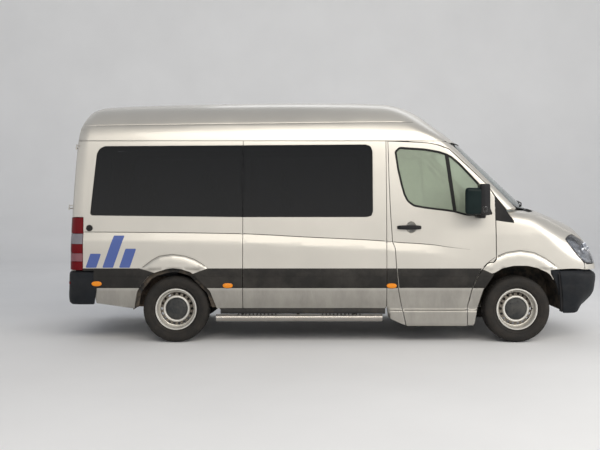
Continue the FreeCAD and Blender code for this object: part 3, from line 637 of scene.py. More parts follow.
def axis_of(nt, co, axis):
    s = nt.nodes.new("ShaderNodeSeparateXYZ")
    nt.links.new(co, s.inputs[0])
    return s.outputs[axis]


def paint(name, tone, dust=(0.215, 0.205, 0.185), metal=0.70, rough=(0.36, 0.44)):
    m, nt, b, co = material(name, Metallic=metal, Coat_Weight=0.55, Coat_Roughness=0.06)
    flake = noise(nt, co, 900, 2, 0.6)
    cloud = noise(nt, co, 1.3, 4, 0.6)
    lo = tuple(c * 0.93 for c in tone)
    col = ramp(nt, cloud, [(0.3, lo), (0.7, tone)])
    fl = ramp(nt, flake, [(0.35, (0.93, 0.93, 0.93)), (0.65, (1.0, 1.0, 1.0))])
    col = mix(nt, 1.0, col, fl, "MULTIPLY")
    # darker low on the sides, in soft streaks: partly road dust, partly painted shade of the lower body
    z = axis_of(nt, co, 2)
    low = to_range(nt, z, 0.98, 0.0, 0.555, 0.640)
    streak = to_range(nt, noise(nt, co, 6, 6, 0.7, (1.0, 1.0, 0.35)), 0.62, 0.88, 0.35, 0.75)
    mm = nt.nodes.new("ShaderNodeMath")
    mm.operation = "MULTIPLY"
    nt.links.new(low, mm.inputs[0])
    nt.links.new(streak, mm.inputs[1])
    col = mix(nt, mm.outputs[0], col, dust)
    nt.links.new(col, b.inputs["Base Color"])
    nt.links.new(to_range(nt, cloud, rough[0], rough[1], 0.3, 0.7), b.inputs["Roughness"])
    bump(nt, b, noise(nt, co, 260, 2, 0.5), 0.05, 0.0004)
    return m


def plastic(name, tone, rough=(0.45, 0.62), grain=700.0, strength=0.25, dusty=0.25):
    m, nt, b, co = material(name, Specular_IOR_Level=0.14)
    g = noise(nt, co, grain, 3, 0.6)
    c = noise(nt, co, 5, 5, 0.65)
    hi = tuple(min(1, t * 1.35 + 0.004) for t in tone)
    col = ramp(nt, c, [(0.3, tone), (0.75, hi)])
    d = to_range(nt, noise(nt, co, 2.2, 6, 0.7), 0.0, dusty, 0.45, 0.8)
    col = mix(nt, d, col, (0.30, 0.27, 0.23))
    nt.links.new(col, b.inputs["Base Color"])
    nt.links.new(to_range(nt, c, rough[0], rough[1], 0.3, 0.7), b.inputs["Roughness"])
    bump(nt, b, g, strength, 0.0006)
    return m


def rubber(name, tone=(0.018, 0.017, 0.016), dust=(0.12, 0.10, 0.08), amount=0.5):
    m, nt, b, co = material(name, Specular_IOR_Level=0.2)
    n1 = noise(nt, co, 9, 6, 0.7)
    n2 = noise(nt, co, 120, 4, 0.6)
    col = ramp(nt, n2, [(0.3, tone), (0.7, tuple(t * 1.7 for t in tone))])
    col = mix(nt, to_range(nt, n1, 0.0, amount, 0.4, 0.75), col, dust)
    nt.links.new(col, b.inputs["Base Color"])
    nt.links.new(to_range(nt, n1, 0.62, 0.85, 0.3, 0.7), b.inputs["Roughness"])
    bump(nt, b, n2, 0.3, 0.0006)
    return m


def metal(name, tone, rough=(0.28, 0.42), metallic=0.9, brushed=None, dust=0.25, dust_tone=(0.25, 0.2, 0.15)):
    m, nt, b, co = material(name, Metallic=metallic)
    n1 = noise(nt, co, 7, 5, 0.65)
    n2 = noise(nt, co, 90 if brushed is None else 60, 4, 0.6, brushed)
    col = ramp(nt, n2, [(0.3, tuple(t * 0.88 for t in tone)), (0.7, tone)])
    col = mix(nt, to_range(nt, n1, 0.0, dust, 0.45, 0.75), col, dust_tone)
    nt.links.new(col, b.inputs["Base Color"])
    nt.links.new(to_range(nt, n2, rough[0], rough[1], 0.3, 0.7), b.inputs["Roughness"])
    bump(nt, b, n2, 0.12, 0.0004)
    return m


def glass(name, tone, rough=0.02, trans=1.0, smear=0.06, ior=1.45, spec=0.5):
    m, nt, b, co = material(name, Transmission_Weight=trans, IOR=ior, Specular_IOR_Level=spec)
    n1 = noise(nt, co, 3.0, 6, 0.7)
    n2 = noise(nt, co, 40.0, 4, 0.7)
    col = ramp(nt, n1, [(0.3, tone), (0.75, tuple(min(1, t * 1.12 + 0.004) for t in tone))])
    nt.links.new(col, b.inputs["Base Color"])
    nt.links.new(to_range(nt, n2, rough, rough + smear, 0.45, 0.8), b.inputs["Roughness"])
    return m


def cloth(name, tone, second, scale=420.0):
    m, nt, b, co = material(name, Roughness=0.9, Sheen_Weight=0.35, Sheen_Roughness=0.5)
    w = nt.nodes.new("ShaderNodeTexWave")
    w.inputs["Scale"].default_value = scale
    w.inputs["Distortion"].default_value = 1.5
    nt.links.new(co, w.inputs["Vector"])
    w2 = nt.nodes.new("ShaderNodeTexWave")
    w2.bands_direction = "Z"
    w2.inputs["Scale"].default_value = scale
    w2.inputs["Distortion"].default_value = 1.5
    nt.links.new(co, w2.inputs["Vector"])
    v = nt.nodes.new("ShaderNodeTexVoronoi")
    v.inputs["Scale"].default_value = 34
    nt.links.new(co, v.inputs["Vector"])
    col = ramp(nt, v.outputs["Distance"], [(0.15, second), (0.35, tone)])
    mul = nt.nodes.new("ShaderNodeMath")
    mul.operation = "MULTIPLY"
    nt.links.new(w.outputs["Fac"], mul.inputs[0])
    nt.links.new(w2.outputs["Fac"], mul.inputs[1])
    col = mix(nt, to_range(nt, mul.outputs[0], 0.0, 0.35), col, tuple(min(1, t * 1.8 + 0.02) for t in tone))
    nt.links.new(col, b.inputs["Base Color"])
    bump(nt, b, mul.outputs[0], 0.4, 0.0008)
    return m


SILVER = paint("silver_metallic", (0.66, 0.63, 0.57))
INSIDE = plastic("inner_trim", (0.20, 0.20, 0.20), (0.55, 0.7), 300, 0.2, 0.05)
HEADLINER = cloth("headliner_cloth", (0.42, 0.41, 0.39), (0.38, 0.37, 0.35), 600)
DARK = plastic("dark_grained_plastic", (0.008, 0.0095, 0.012), (0.45, 0.62), 900, 0.3, 0.06)
DARKER = plastic("black_moulding", (0.012, 0.012, 0.013), (0.35, 0.5), 900, 0.2, 0.08)
DASHP = plastic("dash_plastic", (0.045, 0.045, 0.048), (0.5, 0.68), 520, 0.4, 0.03)
SEAL = rubber("seal_rubber", (0.010, 0.010, 0.010), (0.06, 0.055, 0.05), 0.25)
TYRE = rubber("tyre_rubber_dusty", (0.014, 0.013, 0.012), (0.050, 0.042, 0.035), 0.6)
TINT = glass("privacy_glass", (0.030, 0.031, 0.034), 0.015, 1.0, 0.05)
# door glass only 62 % clear: its pale green diffuse part is painted sky reflection
GREEN = glass("door_glass", (0.50, 0.57, 0.45), 0.0, 0.62, 0.04)
SCREEN = glass("windscreen_glass", (0.56, 0.63, 0.63), 0.0, 1.0, 0.03)
FRIT = plastic("ceramic_border", (0.006, 0.006, 0.007), (0.12, 0.2), 60, 0.02, 0.0)
STEEL = metal("wheel_silver", (0.74, 0.72, 0.67), (0.32, 0.48), 0.6, None, 0.22, (0.16, 0.12, 0.09))
BRIGHT = metal("bright_tube", (0.40, 0.38, 0.35), (0.16, 0.30), 0.95, (0.15, 1.0, 1.0), 0.3, (0.3, 0.25, 0.2))
CHASSIS = metal("chassis_black", (0.035, 0.034, 0.033), (0.5, 0.7), 0.3, None, 0.65, (0.10, 0.08, 0.06))
CAST = metal("cast_metal", (0.20, 0.19, 0.18), (0.45, 0.6), 0.7, None, 0.5, (0.14, 0.11, 0.08))
LINER = rubber("liner_plastic", (0.014, 0.014, 0.014), (0.16, 0.125, 0.09), 0.8)
FLOOR_M = plastic("floor_covering", (0.06, 0.06, 0.065), (0.6, 0.8), 240, 0.5, 0.2)
FABRIC = cloth("seat_cloth", (0.045, 0.050, 0.062), (0.075, 0.085, 0.11))
FABRIC2 = cloth("seat_cloth_side", (0.028, 0.029, 0.032), (0.034, 0.035, 0.04))
AMBER = glass("amber_lens", (1.0, 0.33, 0.02), 0.08, 0.35, 0.1)
RED = glass("red_lens", (0.12, 0.001, 0.004), 0.2, 0.03, 0.12, 1.45, 0.18)
WHITE_LENS = glass("white_lens", (0.22, 0.21, 0.235), 0.08, 0.2, 0.06)
PALE_RED = glass("pale_lens", (0.30, 0.12, 0.14), 0.05, 0.35, 0.08)
CLEAR = glass("clear_lens", (0.93, 0.95, 0.97), 0.0, 1.0, 0.02)
REFLECT = metal("reflector", (0.86, 0.87, 0.9), (0.05, 0.14), 1.0, None, 0.0)
BLUE = paint("blue_film", (0.050, 0.095, 0.33), (0.05, 0.09, 0.28), 0.0, (0.35, 0.45))
MIRROR_M = metal("mirror_glass", (0.85, 0.87, 0.9), (0.02, 0.05), 1.0, None, 0.05)
PLATE = plastic("blank_plate", (0.62, 0.61, 0.57), (0.35, 0.5), 300, 0.1, 0.1)
CAP_M = plastic("hub_cap_plastic", (0.030, 0.032, 0.033), (0.38, 0.55), 420, 0.2, 0.35)
LAMP_DARK = plastic("lamp_housing", (0.05, 0.05, 0.055), (0.3, 0.45), 300, 0.1, 0.0)
LAMP_GREY = metal("lamp_back", (0.42, 0.43, 0.46), (0.18, 0.3), 0.85, None, 0.1)
GRILLE_M = plastic("grille_slat", (0.03, 0.031, 0.034), (0.3, 0.45), 500, 0.15, 0.1)
# painted shade: the mirror head gets a darker, greenish black than the black shell beside it
MIR_HEAD_M = plastic("mirror_head", (0.003, 0.009, 0.009), (0.28, 0.4), 300, 0.03, 0.02)
# painted shade: the body's silver made darker inside the pressed handle dishes
SHADED_DISH_M = paint("handle_dish_silver", (0.50, 0.49, 0.46))
MARKER_M = glass("marker_amber", (1.0, 0.30, 0.01), 0.10, 0.22, 0.1)
EXHAUST = metal("exhaust_steel", (0.26, 0.22, 0.18), (0.5, 0.7), 0.7, None, 0.9, (0.20, 0.11, 0.06))
SPRING = metal("spring_steel", (0.07, 0.06, 0.055), (0.5, 0.7), 0.5, None, 0.85, (0.18, 0.10, 0.06))
LINER_R = rubber("liner_dusty", (0.030, 0.024, 0.020), (0.26, 0.19, 0.14), 0.95)
CLAD_M = plastic("cladding_plastic", (0.017, 0.016, 0.015), (0.5, 0.65), 900, 0.3, 0.12)
# the recessed disc much darker than the wheel's rim and ring: partly painted shade, partly dust
DISC_M = metal("wheel_disc_dusty", (0.20, 0.18, 0.155), (0.4, 0.55), 0.6, None, 0.7, (0.09, 0.07, 0.055))
# painted shadow: dark strips laid along the belt crease, the flares' edges and the roof crease
CREASE_SHADOW_M = plastic("shadow_seal", (0.055, 0.050, 0.042), (0.55, 0.7), 400, 0.1, 0.1)

# ---------------------------------------------------------------- body panels
SIDES = (("right", -1), ("left", 1))
GAP2 = 2.5
WINDOW = [(-2634, 1365, 26), (-2575, 2028, 60), (-2545, 2086, 60), (-2490, 2112.0, 60), (-1000, 2121.5, 0), (330, 2130, 40), (382, 2112.0, 40), (402, 2058, 40), (402, 1410, 30), (385, 1362, 20), (340, 1348, 20), (-1000, 1347, 0)]
DOOR = [(572, 2165, 10), (790, 2157), (985, 2148), (1105, 2128, 60), (1236, 2080, 90), (1626, 1712, 200), (1716, 1568, 60), (1716, 902, 18), (1688, 867, 6), (1630, 864, 6),
        (1559, 778, 60), (1499, 689, 60), (1454, 568, 100), (1409, 388, 40), (1404, 336, 20), (1404, 184, 8),
        (757, 184, 8), (715, 371, 100), (676, 564, 100), (657, 781, 100), (640, 1020, 30), (613, 1082, 30), (593, 1410, 200), (580, 1755, 200)]
DOOR_WINDOW = [(640, 2056, 40), (692, 2105, 50), (973, 2087, 200), (1124, 2061, 200), (1200, 2036, 150), (1262, 2005, 100), (1349, 1931, 100), (1567, 1696, 200),
               (1690, 1375, 12), (1415, 1360, 200), (1265, 1401, 200), (964, 1438, 200), (838, 1461, 80), (769, 1513, 80), (732, 1590, 100), (703, 1696, 200), (667, 1863, 200)]


def at_edge(s, zs, target, lift=None):
    """u round the tail corner where the surface's |y| is the target."""
    lift = lift or lift_wrap(f_cab, s)
    zs = np.asarray(zs, float)
    lo, hi = np.full(len(zs), -3300.0), np.full(len(zs), -2700.0)
    for _ in range(26):
        m = (lo + hi) / 2
        P, _n = lift(np.stack([m, zs], 1))
        big = np.abs(P[:, 1]) > target
        hi = np.where(big, m, hi)
        lo = np.where(big, lo, m)
    return (lo + hi) / 2


def crease_lines():
    xs = np.arange(-2680, 1440, 26.0)
    out = []
    for d in (30, 8, 5, 2, -1, -5, -50, -95, -130):
        out.append(np.stack([xs, BELT_Z(xs) + d], 1))
    return out


def flare_lines():
    out = []
    for ring in (FLARE_R, FLARE_F):
        top = ring[ring[:, 1] > 560]
        for d in (-8.0, -3.0, 1.5, 6.0, 24.0, 50.0):
            q = inset(ring, d)
            q = q[ring[:, 1] > 600]
            # open run starting at the left end
            o = np.argsort(q[:, 0])
            out.append(q[o])
    return out


def sill_lines():
    xs = np.arange(-2600, 1400, 30.0)
    return [np.stack([xs, np.full(len(xs), z)], 1) for z in (372.0, 379.0, 392.0)]


LINES = crease_lines() + flare_lines() + sill_lines()
arch_r = [p for p in around([(-447, 28), (-447, 22), *REAR_ARCH[2:-1], (446, 28)], X_REAR)]
TAIL_Z = [2168, 2060, 1940, 1820, 1700, 1580, 1460, 1347]


def doorway_y(z):
    return 850 - (np.asarray(z, float) - 548) * (44.0 / 1742.0)


PANELS = []


def put(name, part, body, node, thick, mats, r=2.5, inner=1):
    o = shell(name, *part, thick=thick, r=r, mats=mats, inner_mat=inner)
    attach(o, body)
    for n in ([node] if isinstance(node, str) else node or []):
        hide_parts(n)
    return o


for side, s in SIDES:
    wrap = lift_wrap(f_cab, s)
    flat = lift_side(f_cab, s)
    edge = [(float(u), z) for u, z in zip(at_edge(s, TAIL_Z, doorway_y(TAIL_Z)), TAIL_Z)]
    quarter = [(-997.5, 366, 2), (-997.5, 1347, 2), (-2634, 1365, 26), (-2575, 2028, 60), (-2545, 2086, 60), (-2490, 2112.0, 60), (-997.5, 2121.5, 2), (-997.5, 2168, 2)]
    quarter += [(*edge[0], 2)] + [(*p, 0) for p in edge[1:-1]] + [(*edge[-1], 2)]
    quarter += [(-2703, 1347, 4), (-2703, 776, 4), (-2588, 776, 4), (-2588, 590, 4), (-2563, 424, 10), (-2168, 366, 10)]
    quarter += [(*p, 90) for p in arch_r[1:-1]] + [(-1262, 366, 10)]
    part = surface(wrap, rounded(quarter, 4, 27), (), LINES, 31)
    put("quarter_" + side, part, "body", "side_wall_" + side, 42, [SILVER, INSIDE])
    bay = [(-992.5, 366, 3), (545.5, 366, 3), (545.5, 2168, 3), (-992.5, 2168, 3), (-992.5, 2121.5, 2), (330, 2130, 40), (382, 2112.0, 40), (402, 2058, 40), (402, 1410, 30), (385, 1362, 20), (340, 1348, 20), (-992.5, 1347, 2)]
    part = surface(flat, rounded(bay, 3, 27), (), LINES, 31)
    if s > 0:
        put("sliding_door_skin", part, "body", "sliding_door", 42, [SILVER, INSIDE])
    else:
        put("bay_panel_right", part, "body", "side_wall_right", 42, [SILVER, INSIDE])
    post = [(550.5, 2168, 2), (550.5, 366, 20), (562, 276, 30), (640, 236, 60), (748, 190, 6), (709, 371, 90), (670, 564, 100), (651, 781, 100), (634, 1020, 30), (607, 1082, 30), (587, 1410, 200), (574, 1755, 200), (567, 2168, 2)]

    def step_field(P):
        """The side skin, run out over the cab step below the sill."""
        y = np.where(P[:, 2] < 560, STEP(P[:, 2]), 0)
        k = smooth((P[:, 0] - 545) / 40.0)
        base = f_cab(P)
        return np.where(P[:, 2] < 560, base * (1 - k) + k * np.maximum(base, y - np.abs(P[:, 1])), base)

    steps = [np.stack([np.arange(560, 1400, 30.0), np.full(28, z)], 1) for z in (352.0, 372.0, 330.0, 236.0)]
    part = surface(lift_side(step_field, s), rounded(post, 10, 22), (), LINES + steps, 22)
    put("pillar_" + side, part, "body", "side_wall_" + side, 40, [SILVER, INSIDE])
    foot = [(1410, 190, 6), (1470, 190, 8), (1486, 220, 20), (1506, 333, 60), (1580, 572, 90), (1640, 668, 60), (1622, 800, 6), (1568, 774, 50), (1506, 687, 60), (1461, 567, 90), (1416, 388, 40), (1410, 336, 20)]
    part = surface(lift_side(step_field, s), rounded(foot, 10, 22), (), LINES + steps, 22)
    put("door_post_foot_" + side, part, "body", "side_wall_" + side, 34, [SILVER, INSIDE])

    # front door skin
    door = rounded(DOOR, 40, 26)
    win = rounded(DOOR_WINDOW, 40, 26)
    dish_hole = np.array([(811 + 54 * math.cos(a), 1238 + 62 * math.sin(a)) for a in np.linspace(0, 2 * math.pi, 40, endpoint=False)])
    FRONT_FLARE_ON[0] = 0.0
    part = surface(lift_side(step_field, s), door, [win, dish_hole], LINES + steps, 29)
    FRONT_FLARE_ON[0] = 1.0
    put("front_door_skin_" + side, part, "front_door_" + side, "front_door_" + side, 42, [SILVER, INSIDE])

# roof: an upright band round the sides and tail, and the crown above it
def roof_band(s):
    wrap = lift_wrap(f_cab, s)
    xf = 1196.0
    low = [(x, 2172.5) for x in np.arange(xf, -2700, -30.0)]
    zs = np.arange(2172.5, 2290, 30)
    ue = at_edge(s, zs, doorway_y(zs))
    low += list(zip(ue, zs))
    low += [(float(at_edge(s, [z], y)[0]), z) for y, z in ((806, 2290), (780, 2308), (755, 2326), (730, 2345))]
    low += [(float(at_edge(s, [2345.0], y)[0]), 2345.0) for y in np.arange(700, 0, -35.0)]
    xc = lean_x(np.array([2345.0]))[0] + CORNER
    u_end = xc - CORNER * math.pi / 2 - (side_y(np.array([xc]), np.array([2330.0]), True)[0] - CORNER)
    low.append((u_end, 2345.0))
    top_u = np.concatenate([np.arange(u_end, -2780, 32.0), np.arange(-2770, xf, 30.0)])

    def zu(u):
        cap = 2188 + (1447 - u) * TAN_CAP
        return np.clip(cap - 150.0, 2180.0, 2520.0) - 78.0 * smooth((-2330.0 - u) / 150.0)

    top = [(u, float(zu(u))) for u in top_u] + [(xf, 2180.0)]
    outline = np.array(low[::-1] and [low[0]] + low[1:] + top, float)
    xs = np.arange(-2760, 900, 28.0)
    lines = [np.stack([xs, 2338 + 0.0125 * (xs + 2613) + d], 1) for d in (-10, -4, 0, 4, 10)]
    lines.append(np.stack([np.arange(-2760, 1190, 28.0), np.full(len(np.arange(-2760, 1190, 28.0)), 2180.0)], 1))
    V2, T = fill(outline, (), lines, 30.0)
    P, N = wrap(V2)
    Pt, _ = wrap(np.array(top, float))
    return (P, T, N), Pt


bands = {s: roof_band(s) for _, s in SIDES}
ring = [p[:2] for p in bands[-1][1]]                      # right side, tail centre to front
ringl = [p[:2] for p in bands[1][1]]
front_edge = []
half = abs(bands[-1][1][-1][1])
for y in np.linspace(-806, 806, 54):
    # the crown ends at the windscreen's head
    front_edge.append((ws_x(np.array([y]), np.array([2156.0]))[0] - 4.0, y))
outline = np.array([tuple(p) for p in ring] + front_edge + [tuple(p) for p in ringl[::-1][:-1]])
V2, T = fill(outline, (), (), 33.0)
Pc, Nc = lift_up(f_cab, 1900.0)(V2)


def outward(P, T, N):
    """Triangles wound so that they face the same way as the normals."""
    fn = np.cross(P[T[:, 1]] - P[T[:, 0]], P[T[:, 2]] - P[T[:, 0]])
    return (P, T[:, ::-1] if np.sum(fn * N[T[:, 0]]) < 0 else T, N)


roof_part = merge([outward(*bands[-1][0]), outward(*bands[1][0]), outward(Pc, np.asarray(T), Nc)])
put("roof_skin", roof_part, "body", "roof", 36, [SILVER, HEADLINER])


# ---------------------------------------------------------------- plain builders


def soft_edges(o, angle=32):
    o.data.polygons.foreach_set("use_smooth", [True] * len(o.data.polygons))
    o.data.set_sharp_from_angle(angle=math.radians(angle))
    return o


def raw(name, V, F, mat, angle=32, fm=None, mats=None):
    return soft_edges(make_object(name, V, F, None, mat=mat, mats=mats, face_mat=fm), angle)


def lattice(rows, close_u=False, close_v=False):
    """Rows of points to vertices and quads."""
    rows = np.asarray(rows, float)
    m, n = rows.shape[:2]
    V = rows.reshape(-1, 3)
    F = []
    for i in range(m if close_u else m - 1):
        for j in range(n if close_v else n - 1):
            a, b = i * n + j, i * n + (j + 1) % n
            c, d = ((i + 1) % m) * n + (j + 1) % n, ((i + 1) % m) * n + j
            F.append((a, b, c, d))
    return V, F


def lathe(profile, centre, axis="y", n=96, flip=False):
    """Profile (radius, along) turned about an axis."""
    rows = []
    for k in range(n):
        a = 2 * math.pi * k / n
        ca, sa = math.cos(a), math.sin(a)
        row = []
        for r, t in profile:
            if axis == "y":
                row.append((centre[0] + r * ca, centre[1] + t, centre[2] + r * sa))
            elif axis == "x":
                row.append((centre[0] + t, centre[1] + r * ca, centre[2] + r * sa))
            else:
                row.append((centre[0] + r * ca, centre[1] + r * sa, centre[2] + t))
        rows.append(row)
    V, F = lattice(rows, close_u=True)
    return V, [f[::-1] for f in F] if flip else F


def add(*parts):
    V, F, o = [], [], 0
    for v, f in parts:
        V.append(np.asarray(v, float))
        F += [tuple(int(i) + o for i in q) for q in f]
        o += len(v)
    return np.concatenate(V), F


def moved(part, by):
    return np.asarray(part[0], float) + np.array(by, float), part[1]


def flipped(part):
    """Mirrored left to right, faces kept outward."""
    V = np.array(part[0], float)
    V[:, 1] *= -1
    return V, [tuple(f[::-1]) for f in part[1]]


def block(lo, hi, r=6.0, seg=2):
    """Box with rounded edges."""
    bm = bmesh.new()
    bmesh.ops.create_cube(bm, size=1.0)
    for v in bm.verts:
        v.co = Vector([(lo[i] + hi[i]) / 2 + v.co[i] * (hi[i] - lo[i]) for i in range(3)])
    if r > 0:
        bmesh.ops.bevel(bm, geom=list(bm.edges), offset=min(r, 0.48 * min(hi[i] - lo[i] for i in range(3))), segments=seg, profile=0.5, affect="EDGES")
    bm.verts.ensure_lookup_table()
    V = np.array([v.co[:] for v in bm.verts])
    F = [tuple(v.index for v in f.verts) for f in bm.faces]
    bm.free()
    return V, F


def prism(outline, y0, y1, r=4.0, seg=2, plane="xz"):
    """Extruded outline with rounded edges. The plane names the outline's two axes."""
    bm = bmesh.new()
    P = np.array([p[:2] for p in outline], float)
    area = np.sum(P[:, 0] * np.roll(P[:, 1], -1) - np.roll(P[:, 0], -1) * P[:, 1])

    def co(p, t):
        return {"xz": (p[0], t, p[1]), "xy": (p[0], p[1], t), "yz": (t, p[0], p[1])}[plane]

    a = [bm.verts.new(co(p, y0)) for p in P]
    b = [bm.verts.new(co(p, y1)) for p in P]
    bm.faces.new(a)
    bm.faces.new(b[::-1])
    n = len(P)
    for i in range(n):
        bm.faces.new((a[i], b[i], b[(i + 1) % n], a[(i + 1) % n]))
    bmesh.ops.recalc_face_normals(bm, faces=bm.faces)
    if r > 0:
        caps = [e for e in bm.edges if (e.verts[0] in a and e.verts[1] in a) or (e.verts[0] in b and e.verts[1] in b)]
        bmesh.ops.bevel(bm, geom=caps, offset=r, segments=seg, profile=0.5, affect="EDGES", clamp_overlap=True)
    bmesh.ops.triangulate(bm, faces=[f for f in bm.faces if len(f.verts) > 4])
    bm.verts.ensure_lookup_table()
    V = np.array([v.co[:] for v in bm.verts])
    F = [tuple(v.index for v in f.verts) for f in bm.faces]
    bm.free()
    return V, F


def tube(points, radius, n=14, caps=True, close=False):
    """Round tube along points; the radius may be one number or one per point."""
    P = np.array(points, float)
    R = np.full(len(P), float(radius)) if np.isscalar(radius) else np.array(radius, float)
    T = np.zeros_like(P)
    T[1:-1] = P[2:] - P[:-2]
    T[0], T[-1] = P[1] - P[0], P[-1] - P[-2]
    if close:
        T[0] = T[-1] = P[1] - P[-2]
    T /= np.linalg.norm(T, axis=1)[:, None]
    up = np.array([0.0, 0.0, 1.0]) if abs(T[0][2]) < 0.8 else np.array([1.0, 0.0, 0.0])
    rows = []
    for p, t, r in zip(P, T, R):
        x = np.cross(up, t)
        x /= np.linalg.norm(x)
        y = np.cross(t, x)
        up = y
        rows.append([p + r * (x * math.cos(a) + y * math.sin(a)) for a in np.linspace(0, 2 * math.pi, n, endpoint=False)])
    V, F = lattice(rows, close_v=True)
    if caps and not close:
        m = len(P)
        F = F + [tuple(range(n))[::-1], tuple(range((m - 1) * n, m * n))]
    return V, F


def ellipsoid(c, r, n=24, m=14, power=1.0):
    rows = []
    for i in range(m + 1):
        t = math.pi * i / m - math.pi / 2
        row = []
        for j in range(n):
            p = 2 * math.pi * j / n
            ct, st, cp, sp = math.cos(t), math.sin(t), math.cos(p), math.sin(p)
            f = lambda v: math.copysign(abs(v) ** power, v)
            row.append((c[0] + r[0] * f(ct) * f(cp), c[1] + r[1] * f(ct) * f(sp), c[2] + r[2] * f(st)))
        rows.append(row)
    return lattice(rows, close_v=True)


def piece(name, part, body, mat, node=(), angle=32, mats=None, fm=None):
    o = raw(name, part[0], part[1], mat, angle, fm, mats)
    bmf = bmesh.new()
    bmf.from_mesh(o.data)
    bmesh.ops.remove_doubles(bmf, verts=bmf.verts, dist=0.00002)
    bmesh.ops.recalc_face_normals(bmf, faces=bmf.faces)
    bmf.to_mesh(o.data)
    bmf.free()
    soft_edges(o, angle)
    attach(o, body)
    for n in ([node] if isinstance(node, str) else node):
        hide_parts(n)
    return o


def put2(name, part, body, node, thick, mats, r=1.5, inner=0):
    o = shell(name, *part, thick=thick, r=r, mats=mats, inner_mat=inner)
    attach(o, body)
    for n in ([node] if isinstance(node, str) else node or []):
        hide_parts(n)
    return o


def band_between(lift, outer, inner, grid=30.0):
    """A ring between two outlines."""
    return surface(lift, outer, [inner], (), grid)


def lift_front(f, x0=0.0, back=0.0):
    g = offset_field(f, -back) if back else f

    def go(uv):
        O = np.stack([np.full(len(uv), x0), uv[:, 0], uv[:, 1]], 1)
        D = np.tile([1.0, 0.0, 0.0], (len(uv), 1))
        P = solve(g, O, D, 0, 3200)
        return P, normals(g, P)

    return go


def f_ws(P):
    return (ws_x(P[:, 1], P[:, 2]) - P[:, 0]) * SIN_WS


def project(f, P, n=8):
    """Moves points along the gradient onto the surface."""
    for _ in range(n):
        v = f(P)
        N = normals(f, P)
        e = 1.0
        d = (f(P + N * e) - f(P - N * e)) / 2
        P = P - N * (v / np.minimum(d, -0.2))[:, None]
    return P, normals(f, P)


# ---------------------------------------------------------------- windscreen pillars
def ws_pt(s, y, z):
    return np.array([ws_x(np.array([y]), np.array([z]))[0], s * y, z])


for side, s in SIDES:
    flat = lift_side(f_cab, s)
    A2 = np.array([(800, 2162), (985, 2153.5), (1110, 2133), (1178, 2112), (1240, 2085), (1290, 2043), (1460, 1883), (1632, 1717), (1724, 1578), (1790, 1492), (1843, 1424)], float)
    A3, _ = flat(A2)
    B3 = [flat(np.array([[x, 2169.0]]))[0][0] for x in (800, 985, 1110, 1176)]
    B3 += [ws_pt(s, 812, 2153), ws_pt(s, 774, 2104), ws_pt(s, 800, 1926), ws_pt(s, 826, 1745), ws_pt(s, 846, 1622), ws_pt(s, 862, 1520), ws_pt(s, 876, 1440)]
    B3 = np.array(B3)
    rows = []
    for (a0, a1), (b0, b1) in zip(zip(A3, A3[1:]), zip(B3, B3[1:])):
        k = max(2, int(np.linalg.norm(a1 - a0) / 22))
        for j in range(k):
            t = j / k
            rows.append([(a0 + (a1 - a0) * t) * (1 - q) + (b0 + (b1 - b0) * t) * q for q in np.linspace(0, 1, 8)])
    rows.append([A3[-1] * (1 - q) + B3[-1] * q for q in np.linspace(0, 1, 8)])
    V, F = lattice(rows)
    T = np.array([(f[0], f[1], f[2]) for f in F] + [(f[0], f[2], f[3]) for f in F])
    P, N = project(f_cab, V)
    put("windscreen_pillar_" + side, (P, T, N), "body", "side_wall_" + side, 34, [SILVER, INSIDE])
    # dark corner moulding between the door and the wing
    tri = rounded([(1724, 1310, 4), (1724, 1570, 4), (1786, 1487, 40), (1838, 1418, 8), (1926, 1283, 6)], 6, 22)
    part = surface(lift_side(f_cab, s, 2.0), tri, (), (), 26)
    put2("corner_moulding_" + side, part, "body", "side_wall_" + side, 14, [DARKER], 2.0)

# ---------------------------------------------------------------- front wings, bonnet, cowl
ZC = curve([(1600, 1040), (2077, 1020), (2300, 985), (2562, 925), (2760, 850)])
RW = 300.0
YC = 610.0


def lift_wing(s):
    def go(uv):
        x, v = uv[:, 0], uv[:, 1]
        zc = ZC(x)
        th = np.clip(v / RW, 0, math.pi / 2)
        z0 = np.where(v < 0, zc + v, zc)
        over = np.maximum(v - RW * math.pi / 2, 0)
        O = np.stack([x, s * (YC - over), z0], 1)
        D = np.stack([np.zeros(len(x)), s * np.cos(th), np.sin(th)], 1)
        P = solve(f_nose, O, D, 0, 900)
        return P, normals(f_nose, P)

    return go


def wing_v(lift, xs, test):
    """v at which the lifted point passes the test value (rising with v)."""
    xs = np.asarray(xs, float)
    lo, hi = np.full(len(xs), -60.0), np.full(len(xs), RW * math.pi / 2 + 500)
    for _ in range(26):
        m = (lo + hi) / 2
        P, _n = lift(np.stack([xs, m], 1))
        past = test(P)
        hi = np.where(past, m, hi)
        lo = np.where(past, lo, m)
    return (lo + hi) / 2


